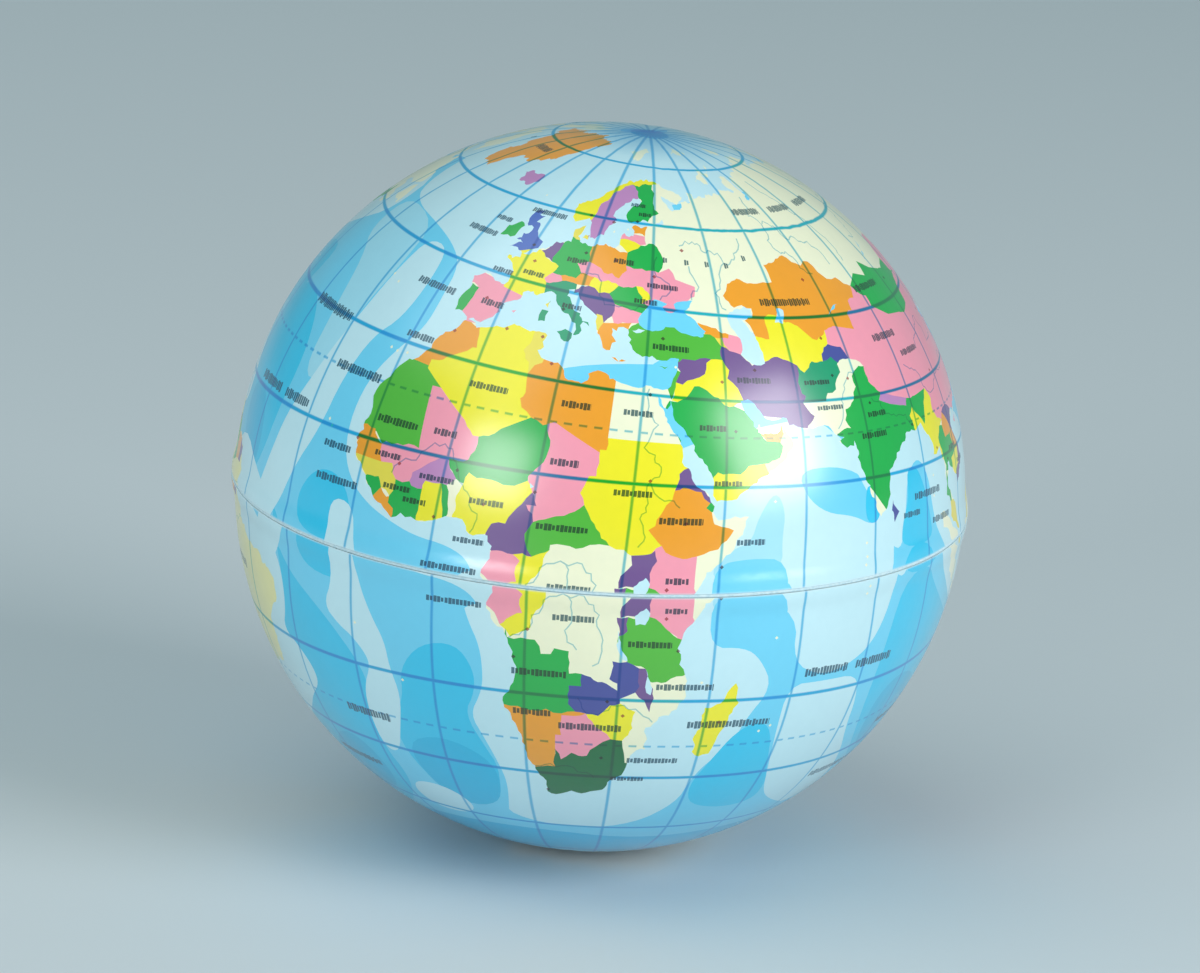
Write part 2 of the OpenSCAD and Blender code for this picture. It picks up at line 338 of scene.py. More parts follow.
# Countries in the order they are painted; each covers part of what came before and never the sea.
COUNTRIES = """
o -13.5,28 -8.7,27.7 -8.7,28.7 -6,29.7 -3.6,31 -2,32.2 -1.2,32.3 -1.8,34.5 -2.2,35.5 -6,37 -11,34 -14,29
l -13.5,28 -8.7,27.7 -8.7,27.3 -4.8,25 -6.5,25 -5.5,16.5 -5.3,15.5 -9.3,15.4 -11.5,15.3 -12.2,14.8
-14,16.3 -16.5,16.2 -19,16 -19,22 -15,29
y -8.7,27.3 -8.7,28.7 -6,29.7 -3.6,31 -2,32.2 -1.2,32.3 -1.8,34.5 -2.2,36 3,38 8.6,38 8.4,36.5 8.3,35
7.5,33.8 8.3,32.5 9.1,32.1 9.5,30.2 9.9,28 9.8,26.5 9.4,26.2 10,24.8 12,23.5 7.5,20.9 5.8,19.5 4.2,19.1
3.2,19.1 1.8,20.3 1.2,21.1 -4.8,25
p -6.5,25 -4.8,25 1.2,21.1 1.8,20.3 3.2,19.1 4.2,19.1 4.2,16.9 3.5,15.4 0.3,15 -0.5,15.1 -2,14.2
-3.2,13.4 -4.4,12.4 -5.3,11.8 -5.5,10.4 -8,10.2 -8.8,11 -9.3,12.4 -11.4,12.2 -12.2,14.8 -11.5,15.3
-9.3,15.4 -5.3,15.5 -5.5,16.5
Y 8.6,38 12,38 12,33 11.5,32.4 10.3,31.8 9.5,30.2 9.1,32.1 8.3,32.5 7.5,33.8 8.3,35 8.4,36.5
o 9.5,30.2 10.3,31.8 11.5,32.4 11.6,34 20,34 25,33 25,22 25,20 24,20 24,19.5 16,23.4 14.9,22.9 14.2,22.6
12,23.5 10,24.8 9.4,26.2 9.8,26.5 9.9,28
c 25,33 34.3,31.5 34.9,29.5 34,27 37,22 25,22
g 3.5,15.4 4.2,16.9 4.2,19.1 5.8,19.5 7.5,20.9 12,23.5 14.2,22.6 14.9,22.9 15.5,21 15.9,20.4 15.5,16.9
13.5,14.4 13.6,13.7 12.5,13.1 9,12.8 7,13 4.1,13.5 3.6,11.7 2.2,12.2 0.3,14 0.3,15
p 14.9,22.9 16,23.4 24,19.5 24,15.7 22.9,15.6 22.4,14 21.9,12.8 22.8,11 20,9 18.8,8.8 15.5,7.5 15.2,8.7
14,10 15.6,10 15,11.5 14.2,12.7 13.5,14.4 15.5,16.9 15.9,20.4 15.5,21
y 25,22 37,22 39,20 38.6,18.2 37,17 36.9,15.5 36.5,14.3 36.2,12.7 34.9,10.8 34.1,9.5 34,8.5 33,7.8
35.3,5.4 34.4,4.6 33,3.9 31,3.6 29.7,4.5 27.4,5 25.1,7.5 24.2,8.7 22.8,11 21.9,12.8 22.4,14 22.9,15.6
24,15.7 24,20 25,20
v 38.6,18.2 41,15 43.3,12.5 42.4,12.4 40.8,14.2 39,14.6 37.9,14.9 36.5,14.3 36.9,15.5 37,17
o 36.5,14.3 37.9,14.9 39,14.6 40.8,14.2 42.4,12.4 41.8,11.6 42.8,10.9 43.2,9.4 43.4,9 45.8,8.4 46.8,8
44.4,5 43,4.7 42,4.2 41,3.9 39.5,3.5 38.1,3.6 36,4.4 35.3,5.4 33,7.8 34,8.5 34.1,9.5 34.9,10.8 36.2,12.7
g 42.4,12.4 43.5,12.6 43.4,11.3 42.8,10.9 41.8,11.6
p 34,4.3 35.3,5.4 36,4.4 38.1,3.6 39.5,3.5 41,3.9 41,-1 42,-2.2 39.2,-5 37.6,-3.5 34,-1 34,1 34.9,3
v 30.9,3.7 33,3.9 34.4,4.6 34.9,3 34,1 34,-1 29.6,-1.4 29.7,0.5 31.2,2.2
v 29,-1.4 30.8,-1.2 30.8,-3.5 29.4,-4.4
l 30.8,-1.2 34,-1 37.6,-3.5 40,-5 41,-10 37.5,-11.7 34.6,-11.6 34,-9.5 31,-8.5 29.5,-6 29.4,-4.4
30.8,-3.5
m -5.5,10.4 -5.3,11.8 -4.4,12.4 -3.2,13.4 -2,14.2 -0.5,15.1 0.3,15 2.2,12.2 2,11.3 0.9,11 -2.8,11
-2.8,9.7 -5,9.8
o -18,16.6 -14.3,16.6 -12.2,14.8 -11.4,12.2 -16.9,12.4
Y -17,12.4 -11.4,12.2 -9.3,12.4 -8.8,11 -8,10.2 -8,8.4 -8.5,7.6 -10.5,8.5 -13.5,9.5
g -14,9.5 -11.2,10 -10.3,8.5 -11.5,6.7
o -11.6,6.8 -10.3,8.5 -9,7.3 -8.4,7.5 -8.5,6.5 -7.4,5.8 -7.5,4
g -8.5,7.6 -8,8.4 -8,10.2 -5.5,10.4 -5,9.8 -2.8,9.7 -3,8 -3.1,4.7 -7.5,4 -7.4,5.8 -8.5,6.5
y -2.8,11 0,11.1 0.6,8.5 1.2,6 -3.1,4.7 -3,8
g 0,11.1 0.9,11 1.6,9 1.7,6 1.2,6 0.6,8.5
c 0.9,11 2.2,12.2 3.6,11.7 2.8,9 2.8,6 1.7,6 1.6,9
y 2.8,6 2.8,9 3.6,11.7 4.1,13.5 7,13 9,12.8 12.5,13.1 13.6,13.7 14.6,12 13.3,10 12.2,8.6 11.3,6.7 9.2,6.4
8.5,4.7 6,3.8
v 8.5,4.7 9.2,6.4 11.3,6.7 12.2,8.6 13.3,10 14.6,12 15,11.5 15.6,10 14,10 15.2,8.7 15.5,7.5 14.5,5.5
14.7,4.5 16.1,2.2 13.2,2.2 9.8,2.3 9,3.5
l 15.5,7.5 18.8,8.8 20,9 22.8,11 24.2,8.7 25.1,7.5 27.4,5 24.5,4.9 22.5,4.1 18.6,4.3 18.6,3.5 16.1,2.2
14.7,4.5 14.5,5.5
p 9.8,2.3 13.2,2.2 14.4,1.3 13.9,-0.5 14.4,-1.8 13,-2.3 12,-3 11,-4 8.5,-1
y 13.2,2.2 16.1,2.2 18.6,3.5 17.8,0.5 16.2,-1.8 15.8,-4 14.4,-4.8 12.7,-5.8 11,-4 12,-3 13,-2.3 14.4,-1.8
13.9,-0.5 14.4,1.3
g 12,-4.5 12.2,-5.9 16.5,-5.9 17.5,-8.1 19,-8 19.5,-7 21.8,-7.3 22,-11 24,-10.9 24,-13 22,-13 22,-16.2
23.3,-17.6 21,-18 18.5,-17.4 14,-17.4 11.5,-17.3 11,-10
n 22,-13 24,-13 24,-10.9 25.4,-11.3 28,-12.3 29.8,-13.4 29.7,-12.2 28.4,-11.5 28.7,-8.5 31,-8.5 33,-9.5
33.3,-12.5 32.7,-13.6 30.3,-14.8 30.4,-15.6 28.8,-16 27,-18 25,-17.8 23.3,-17.6 22,-16.2
v 33,-9.5 34,-9.5 34.6,-11.6 35.8,-14.5 35.3,-17 34.3,-15 32.7,-13.6 33.3,-12.5
c 34.6,-11.6 37.5,-11.7 41,-10.3 42,-15 36,-19.5 36.5,-24 33,-27 32,-26.8 31.9,-25 31.3,-22.4 32.8,-20
33,-17 30.4,-15.6 30.3,-14.8 32.7,-13.6 34.3,-15 35.3,-17 35.8,-14.5
y 25,-17.8 27,-18 28.8,-16 30.4,-15.6 33,-17 32.8,-20 31.3,-22.4 29.3,-22.2 27.7,-20.7 26,-19
p 25,-17.8 26,-19 27.7,-20.7 29.3,-22.2 27,-23.7 25.5,-25.7 22.8,-25.3 21,-26.8 20,-24.8 20,-22 21,-22
21,-18.3 23.3,-17.8
o 11.5,-17.3 14,-17.4 18.5,-17.4 21,-18 25,-17.7 21,-18.3 21,-22 20,-22 20,-28.4 17.4,-28.7 15,-29 12,-22
d 15.5,-29 17.4,-28.7 20,-28.4 20,-24.8 21,-26.8 22.8,-25.3 25.5,-25.7 27,-23.7 29.3,-22.2 31.3,-22.4
31.9,-25 32.2,-26.8 33.5,-27 30,-36 17,-36
g 34.6,29.3 36,29.2 37.5,30 39,32.2 42,31.1 44.7,29.2 46.5,29.1 48.5,28.3 51,25 51,24.5 51.6,24.2
52.6,22.9 55.2,22.7 55.7,22 55,20 52,19 49,18.6 47.5,17.2 45.4,17.3 43.5,17.5 42.5,16.4 38,20 34,28
y 42.5,16.4 43.5,17.5 45.4,17.3 47.5,17.2 49,18.6 52,19 53.2,16.6 50,13 43,12
k 52,19 55,20 55.7,22 55.2,22.7 56,24.2 56.4,26.5 60,23 60,20 56,16 53.2,16.6
o 51.5,24.1 52.6,22.9 55.2,22.7 56,24.2 56,26.5 54,25
y 38.8,33.4 41,34.5 41.4,36.5 42.4,37.2 44.8,37.2 46,35.5 45.5,34 47.5,32.3 48.5,30 48,29.8 46.5,29.1
44.7,29.2 42,31.1 39,32.2
y 35,29.4 36,29.2 37.5,30 39,32.2 38.8,33.4 36.8,32.3 35.6,32.6 35.4,31
l 34.2,31.3 34.9,29.5 35.4,31 35.6,32.6 36.4,34.5 35,34.7
v 35.5,36 36.7,36.8 38,36.8 42.4,37.2 41.4,36.5 41,34.5 38.8,33.4 36.8,32.3 35.6,32.6 36.4,34.5
l 25.5,40.2 28,42.2 35,42.5 41.5,41.5 43.5,41.1 44.8,39.6 44.4,38 44.8,37.2 42.4,37.2 38,36.8 36.7,36.8
35.5,36 28,36 26,38
o 39.9,43.4 44,42.7 46.7,41.8 46.5,41.1 45,41.1 43.5,41.1 41.5,41.5
p 46.7,41.8 50.5,40.5 48.8,38.4 46.5,38.9 45,41.1 46.5,41.1
Y 43.5,41.1 45,41.1 46.5,38.9 44.8,39.6
v 44.4,38 44.8,39.6 46.5,38.9 48.8,38.4 51,36.5 54,37.3 57,38.2 59.3,37.5 61.2,36.6 60.6,33.5 61,31.5
61.8,31 60.9,29.8 63,27.2 61.6,25 57,25.5 56.5,27 51,27.5 48.5,30 47.5,32.3 45.5,34 46,35.5 44.8,37.2
t 61.2,36.6 60.6,33.5 61,31.5 61.8,31 60.9,29.8 66.3,29.9 67,31.3 69.3,31.9 70,33.7 71.5,35 71.3,36.5
74.9,37.3 71.7,38 70.2,37.9 67.8,37.2 65,37.3 62.5,35.3
c 60.9,29.8 66.3,29.9 67,31.3 69.3,31.9 70,33.7 71.5,35 71.3,36.5 74.9,37.3 77,35.7 74.3,34 74.5,32
73,29.5 70.5,28 70,26 71,24.4 68,23.5 61,24.8 63,27.2
g 77,35.7 78.5,35.5 78.5,32.5 81,30.2 80,28.8 84,27.4 88,26.5 88.8,27.9 92,27.8 97,28.3 94.5,25 93,22
91.5,24 89.8,26 88.3,24.5 89,21.5 85,17 80,6.5 70,18 67.5,23.5 71,24.4 70,26 70.5,28 73,29.5 74.5,32
74.3,34
m 80,28.8 81,30.2 84,29.2 88.8,27.9 88,26.5 84,27.4
y 88.3,24.5 89.8,26 91.5,24 93,22 92.5,20 89,21.5
n 78.8,7 79,11 82,9 80,5
y 52.5,41.8 56,41.3 56,45 58.5,45.5 61,44.2 64,43.6 66,42 68,41 71,42.6 73.8,39.5 70.5,40.2 67.8,37.2
65,37.3 62.5,35.3 61.2,36.6 59.3,37.5 57,38.2 54,37.3 52.5,39.5
p 71,42.6 74,43.2 80.2,42.2 77,41 73.8,39.5 70.5,40.2
n 67.8,37.2 68,38.5 70.5,40.2 73.8,39.5 74.9,37.3 71.7,36.7 70.2,37.9
o 46.8,48.4 49,46.5 51,47 53.3,46.5 53,45 51,44.4 52.5,42.5 52.5,41.8 56,41.3 56,45 58.5,45.5 61,44.2
64,43.6 66,42 68,41 71,42.6 74,43.2 80.2,42.2 80.3,45 82.5,45.3 83,47 85.6,47.2 87.3,49.1 83.5,50.9
80,50.9 77,54 73.5,53.5 71,54.2 69,55.4 65,54.4 61,53.9 61.3,51 58.7,51 55,50.8 51.5,51.5 48.5,50.5
p 73.8,39.5 77,41 80.2,42.2 80.3,45 82.5,45.3 83,47 85.6,47.2 87.3,49.1 91,47 90.8,45.2 96,43 101,42.5
105,41.7 110,42.6 112,44.8 116,46.5 119.7,46.7 117,47.8 116.5,49.8 120,52.6 121,53.3 125.5,53 127.5,50
131,47.8 134.7,48.3 131,44.8 130.6,42.4 128,42 124.3,39.8 122,38 124,31 121,24 110,21 108,21.6 105,23.2
102,22.4 101,21.2 99,22 97.7,24 98.5,26 97,28.3 92,27.8 88.8,27.9 84,29.2 81,30.2 78.5,32.5 78.5,35.5
74.9,37.3
g 87.3,49.1 91,47 90.8,45.2 96,43 101,42.5 105,41.7 110,42.6 112,44.8 116,46.5 119.7,46.7 117,47.8
116.5,49.8 112,49.5 108,49.4 102.5,50.5 98.3,52.2 97,49.8 92,50.8
y 92.5,21 93,22 94.5,25 97,28.3 98.5,26 97.7,24 99,22 101,21.2 97.5,18.5 98.3,15.2 98.2,10 92,16
g 99,20.4 100.5,20.2 101,17.8 104,18.2 105.5,14.5 102.5,13.6 102.7,11.8 99,12 101,6 99,6 98,8 98.6,10
99.2,13 98.3,15.2 97.5,18.5
o 101,21.2 102,22.4 104,20.5 107.5,15.5 107.5,14.5 105.5,14.5 104,18.2 101,17.8 100.5,20.2
y 102.5,13.6 105.5,14.5 107.5,14.5 107,11.8 104.5,10.2 102.7,11.8
v 102,22.4 105,23.2 108,21.6 106,18 110,13 108,10 104.5,8.3 104.5,10.2 107,11.8 107.5,14.5 107.5,15.5
104,20.5
Y 99.8,6.5 102.5,6.6 104.5,1.3 103,1 100,4
Y 109,1.5 112,1.3 115.5,3.5 117.9,4.2 120,6 116,7.5 110,3
g 124.3,39.8 128,42 130.8,42.5 128,38.6 125,37.7
y 125,37.7 128,38.6 130,37 129,34.5 126,34
g 141,-2 149,-6 151,-11 143,-8 141,-9.5
p -9.5,42 -9.5,44.5 -1.6,43.6 -1.5,43 3.2,42.4 3,41 -1,36 -6,35.9 -7.4,37.2 -7,38.2 -7,41.8
g -10,42 -8.2,41.9 -6.5,41.6 -7,38.2 -7.4,37 -10,36.7
y -5,49 1.5,51.2 2.6,51 4.3,50 8.2,49 7.5,47.6 6.2,46.3 7,45.7 7.6,43.6 6,42.8 3.2,42.4 -1.5,43 -1.7,43.5
v 2.6,51 4,51.8 5,53.6 7,53.4 6.8,52 6,50.3 6.2,49.5 4.3,50
g 7,53.4 8.5,55 10,55 14.3,54.3 14.7,51 12.2,50.3 13.8,48.7 13,47.6 9.6,47.5 7.5,47.6 8.2,49 6.2,49.5
6,50.3 6.8,52
Y 8.5,55 7.5,57.5 10.8,58 11,54.6
p 6.2,46.3 7.5,47.6 9.6,47.5 10.3,46.6 8.5,46 7,45.7
t 7,45.7 8.5,46 10.3,46.6 13.7,46.6 13.8,45.6 14.5,44 19,40 16,37.5 11,42 7.5,43.7
o 9.6,47.5 13,47.6 13.8,48.7 17,48.5 16.3,46.8 13.7,46.6 10.3,46.6
p 12.2,50.3 14.7,51 18.8,49.6 22.5,49.1 22,48.2 18.5,47.9 17,48.5 13.8,48.7
o 14.3,54.3 14.7,51 18.8,49.6 22.5,49.1 24,50.7 23.6,51.6 23.5,54 19.8,54.5 17,55
y 16.3,46.8 17,48.5 18.5,47.9 22,48.2 22.7,47.8 21,46.2 18.8,45.9
v 13.6,45.6 16.3,46.8 18.8,45.9 21,46.2 22.6,44.5 22.4,42.4 21,41 19.3,42 14,44.5
Y 19.3,42.3 20.5,42.2 21,41 20.2,39.5 19,40
o 20.2,39.5 21,41 26.5,41.8 26,39 24,36 21,36
p 22.4,42.4 22.6,44.5 28.6,43.7 28,42 26.5,41.8 23,41.3
g 21,46.2 22.7,47.8 24.9,47.9 26.6,48.3 28.2,46.5 28.2,45.4 29.7,45 28.6,43.7 22.6,44.5
p 22,48.2 22.5,49.1 24,50.7 23.6,51.6 27.5,51.5 31.5,51.2 34,52.2 35.5,50.4 40,49.5 39.7,47.8 38.2,47
36,44.4 33,44 29.7,45 28.2,45.4 28.2,46.5 26.6,48.3 24.9,47.9 22.7,47.8
y 26.6,48.3 28,48.3 30,46.4 28.2,45.4 28.2,46.5
g 23.6,51.6 23.5,54 26.6,55.7 31,55.8 32.7,53.4 31.5,51.2 27.5,51.5
y 20.8,55.3 21,56.3 25,56.2 26.6,55.7 23.5,54 22.7,54.4
p 21,56.3 21.5,57.8 27.5,57.5 28,56 26.6,55.7 25,56.2
o 23,58 23.3,59.5 28,59.5 27.5,57.5 24.3,57.8
y 4,58 4,62 12,66 20,71 31,71.5 31,70 29,69.8 26,69.8 23.5,68.7 20.3,69 18,68.3 14.5,66 13.7,64 12,63
12,61 11.3,59 10,58.3 7,57.5
m 11.3,59 12,61 12,63 13.7,64 14.5,66 18,68.3 20.3,69 23.5,67.5 24.2,65.7 20,63.5 18,61 19.5,59.8 17,56.5
14.5,55 12.5,55.2 11,58
g 20.3,69 23.5,68.7 26,69.8 29,69.8 28.8,68.5 30,67.5 29.5,65 30,63.5 31.5,62.7 28,60.5 22,59.5 20.5,61
20.8,63 25.5,65.1 24.2,65.7 23.5,67.5
g -141,72 -141,60.3 -138,59.5 -135.5,59.8 -130,56 -130,54 -150,50 -175,50 -175,73
g -125,49 -95.2,49 -94,48.7 -89.5,48 -84.5,46.6 -82.5,45.3 -82.5,42 -79,42.8 -76.5,44.2 -74.7,45
-71.3,45.2 -69,47.4 -67.7,45.7 -66.5,44 -79,24 -90,27 -97,25.8 -99.5,27.5 -101.5,29.8 -104.5,29.6
-106.5,31.8 -111,31.3 -114.8,32.5 -118,32.5 -126,40
y -118,32.5 -114.8,32.5 -111,31.3 -106.5,31.8 -104.5,29.6 -101.5,29.8 -99.5,27.5 -97,25.8 -94,22 -86,22
-88.2,18.4 -89.2,17.8 -91,17.8 -92.3,14.4 -105,15 -116,26
g -92.3,14.4 -91,17.8 -89.2,17.8 -88.2,18.4 -88.3,16 -89.3,14.4 -90,13.6
o -89.3,14.4 -88.3,16 -83,15.1 -86.7,13 -87.8,12.9
p -83,15.1 -86.7,13 -87.8,12.9 -85.7,11 -83.5,11
y -85.7,11 -83.5,11 -82.6,9.6 -82.9,8 -86,9.5
v -82.6,9.6 -77.3,8.7 -77.8,7 -82.9,8
p -77.4,8.8 -75,11 -71.3,12.3 -72.5,9 -70,7 -67.5,6.2 -67,1.2 -69.5,1.5 -70,-4.2 -72,-2.3 -75.3,-0.1
-78.8,1.5 -78,7
y -71.3,12.3 -60,10 -60,8.3 -61.3,5.9 -60,4.5 -64,4 -64,2 -67,1.2 -67.5,6.2 -70,7 -72.5,9
g -60,8.3 -57.2,6.2 -58,4 -57,2 -59.8,1.3 -60,4.5 -61.3,5.9
o -57.2,6.2 -54,6 -54.5,2.3 -57,2 -58,4
v -54,6 -51.5,4.5 -52.6,2.2 -54.5,2.3
g -78.8,1.5 -75.3,-0.1 -78,-3 -80,-4.4 -81,-3.4 -81.5,-1
y -81,-3.4 -80,-4.4 -78,-3 -75.3,-0.1 -72,-2.3 -70,-4.2 -73.2,-5 -74,-7.3 -72.3,-10 -69.5,-11 -69,-15
-69.5,-17.5 -70.4,-18.4 -78,-15 -83,-6
v -69.5,-11 -65.4,-9.8 -65.3,-11 -60.5,-13.7 -60.2,-16.2 -58,-16.3 -58,-20 -62,-19.5 -62.7,-22.2
-67.8,-22.8 -69.5,-17.5 -69,-15
p -62.7,-22.2 -62,-19.5 -58,-20 -55.8,-22.3 -54.4,-24.2 -54.7,-27 -58.5,-27.2 -57.6,-25.3
g -57.8,-30.2 -53.3,-33.8 -55,-35.2 -58.4,-34
l -70.4,-18.4 -69.5,-17.5 -67.8,-22.8 -68.5,-27 -70.3,-31 -69.9,-34.5 -71.2,-38 -71.8,-43 -72,-49
-72.3,-51.7 -68.5,-52.3 -68.5,-55 -73,-56 -78,-50 -75,-30
o -67.8,-22.8 -62.7,-22.2 -57.6,-25.3 -58.5,-27.2 -54.7,-27 -54,-25.5 -53.7,-27 -57.8,-30.2 -58.4,-34
-55,-38 -60,-48 -65,-56 -68.5,-55 -68.5,-52.3 -72.3,-51.7 -72,-49 -71.8,-43 -71.2,-38 -69.9,-34.5
-70.3,-31 -68.5,-27
"""

# Inland water, painted last over the land in the sea's pale or middle ink.
LAKES = """
2 29,41.2 31.3,41.1 33.3,42 35.1,42.1 36.5,41.3 38.5,41 41,41 41.6,42 39.5,43.7 37.5,44.7 37.2,45.1
39.2,47.1 36.5,46.7 35,46.1 35.3,45.3 36.5,45.2 35.4,45 34,44.5 33.5,44.6 32.6,45.4 33.6,46 31.8,46.4
30.8,46.5 29.7,45.2 28.6,44 27.7,42.6 28.1,41.7
1 49,46.2 51.5,46.8 53,46.5 53.1,45.3 51,44.5 50.3,44.4 51.5,43.2 52.5,42.3 52.8,41.2 53.3,40 53.8,38.9
53.9,37 52,36.6 50.2,37.4 48.9,38.4 49.4,40.2 48.6,41.8 47.5,43 46.9,44.6
1 26.8,40.5 28,41 29.3,40.9 28.5,40.4
1 58.4,44.2 59.8,46.6 61.6,46.3 60.4,44
1 31.8,-1 33.5,0.4 34.2,-0.5 33.5,-2.4 32,-2.5
1 29.3,-3.4 29.9,-6 31.1,-8.4 30.3,-8.2 29.2,-5.8
1 34.2,-9.6 34.9,-11.6 35.2,-14 34.5,-13.6 34.3,-11.6
1 14,13.4 14.7,12.9 14.2,12.6
2 104,51.6 106.5,52.3 109.7,55.7 108.6,54.1 105.5,52.2
2 74,45 76.5,46.4 79,46.6 76.5,45.9
1 30.5,60.4 32.5,61.4 33,60.5 31.5,59.9
2 -92,46.8 -88.5,48.7 -84.8,46.6 -88,46.9
2 -87.8,42 -87.5,45 -85,46 -86.3,43.5
2 -84.5,46 -80.2,45.2 -82.2,43.2 -83.3,44.8
2 -83,41.7 -79,42.8 -81.5,41.6
2 -79.6,43.3 -76.3,43.8 -77.5,43.3
2 -98.8,53.5 -97,50.7 -97.8,50.9
2 -116,61.5 -110,62.5 -113,61.3
2 -124,65.8 -118,66.4 -122,65
"""

# Tints of the sea floor, painted in this order over the middle blue. The band of the deepest ink round the
# far south, from about 46 to 60 degrees, is partly the sea's own tint and partly painted shade on the
# ball's lower side.
SEA = """
1 -62,66 -52,52 -44,50 -30,49 -20,47 -14,44 -13,38 -13,33 -16,29 -19,24 -20,18 -19,12 -16,8 -12,5.5 -8,4
-3,2.5 3,2 7,0 8,-4 14,-4 20,10 10,30 20,34 38,36 38,70 20,76 -30,72
1 -180,91 -180,72 -150,70 -120,68 -95,62 -80,55 -60,62 -30,60 0,60 20,62 40,66 70,68 100,72 140,72 180,72
180,91
5 -50,50 -30,49 -28,40 -30,30 -31,20 -36,20 -37,30 -41,38 -50,42
1 -27,46 -20,46 -18,40 -19,33 -23,29 -25,22 -26,14 -30,7 -33,0 -36,-4 -42,-2 -38,7 -36,14 -33,20 -31,26
-29,32 -28,40
3 -62,28 -50,31 -42,28 -38,22 -39,14 -41,6 -46,1 -54,4 -62,10
4 -56,14 -48,16 -43,11 -43,4 -50,3
3 -25,8 -20,9 -16,6 -15,1 -18,-2 -26,-1 -28,3
3 -34,1 -30,-3 -23,-7 -19,-10 -15,-14 -13,-18 -14,-24 -14,-31 -12,-36 -14,-42 -22,-50 -36,-50 -44,-42
-43,-33 -36,-29 -31,-25 -27,-22 -27,-19 -30,-16 -34,-14 -32,-10 -32,-5
4 -30,-32 -22,-30 -17,-35 -19,-43 -30,-47 -38,-40
3 -6,-14 -2,-9 4,-8 7,-12 7,-16 5,-20 8,-26 10,-30 9,-38 3,-42 -4,-38 -9,-30 -9,-24 -6,-19
4 -8,-28 0,-25 8,-28 10,-33 8,-40 0,-42 -6,-36
1 -20,5 -15,5 -13.5,-1 -11,-6 -8.5,-10 -8,-14 -6.5,-19 -8,-25 -10.5,-31 -14,-31 -14.5,-24 -14,-19 -12,-15
-12.5,-13 -15,-10.5 -18,-9 -21,-6.5 -19,-2
1 -11,-38 -5,-37 0,-39 2,-43 -2,-46 -10,-46 -13,-42
1 -52,9 -40,3 -34,-1 -32,-5 -32,-10 -34,-14 -30,-16 -27,-19 -27,-22 -31,-25 -36,-29 -43,-33 -52,-40
-58,-50 -66,-60 -74,-50 -60,0
1 5,-1 6,-4 8,-8 8.5,-13 8,-16 6,-20 8,-24 10,-29 11,-33 10.5,-38 9.5,-43 24,-46 37,-43 44,-36 45,-31
47,-27 51,-24 52,-19 56,-13 53,-8 50,-6 44,-6 44,2 50,3 59,-1 59,-9 65,-12 71,-11 76,-8 79,-2 80,4 80,9
66,26 57,27 30,20 20,0
5 54,14.5 56,11 55.5,6 56,2 50,0 44,0 44,3 47,5 50,6 51,10
2 50,3.5 57,3 57,-5 44,-5 44,2.5
2 58.5,17.5 66,18 72,16 74,12 76,8 74,7 70,9 64,10 60,13
1 59,-13 66,-13 74,-13 76,-18 77,-24 82,-31 89,-40 80,-44 70,-40 64,-36 61,-30 59,-22
1 66,25 73,13 76,8 79,3 82,2 83,8 84,14 88,17 91,13 92,6 96,0 102,-6 108,-10 118,-12 124,-6 120,10 112,22
88,25
3 73,14 75,13 76.5,9 75,7 72.5,8
3 84,15 87,15.5 89,12 91,6 92,2 82,2 82,6 84,10
3 82,1 89,3 94,-3 102,-9 112,-14 112,-28 100,-36 88,-34 80,-24 79,-13
4 83,-19 90,-16 100,-20 100,-30 90,-32 84,-27
3 48,-26 51,-21 55,-19 58,-21 60,-28 63,-34 62,-38 55,-39 47,-37 45,-32
4 -180,-46 -140,-52 -100,-50 -78,-58 -50,-60 -20,-50 14,-47 40,-50 66,-48 96,-48 130,-52 180,-46 180,-60
130,-62 60,-60 0,-62 -50,-66 -110,-66 -180,-64
1 110,-10 130,-9 150,-8 156,-20 156,-30 152,-40 142,-44 128,-36 112,-37 111,-24 118,-16
1 117,42 124,32 122,22 118,16 122,4 130,2 132,12 128,24 134,30 142,34 146,44 156,48 164,58 150,62 128,44
1 150,-4 164,-8 172,-20 182,-30 180,-48 164,-50 162,-34 160,-20
3 142,18 150,30 158,42 172,46 182,36 180,20 166,14 150,12
3 152,4 170,8 182,4 184,-10 172,-12 160,-2
3 -178,46 -150,48 -134,38 -128,24 -140,14 -160,16 -176,24
3 -172,-14 -150,-12 -128,-16 -120,-34 -132,-48 -160,-46 -170,-32
3 -102,2 -90,0 -82,-10 -76,-22 -80,-42 -96,-42 -104,-20
1 -178,30 -162,24 -152,19 -152,15 -164,19 -179,25
1 -112,17 -104,11 -102,-8 -108,-30 -118,-50 -128,-54 -122,-36 -114,-20 -114,0
1 -130,56 -128,42 -120,28 -108,16 -94,10 -82,2 -84,-8 -78,-20 -76,-40 -80,-52 -60,-40 -70,10 -90,30
-110,50
1 -98,31 -96,20 -84,14 -62,9 -56,12 -62,20 -74,27 -74,36 -62,40 -50,46 -54,56 -90,56
3 -92,27 -86,26 -86,23 -94,23
3 -74,32 -64,36 -54,36 -58,26 -68,24
"""

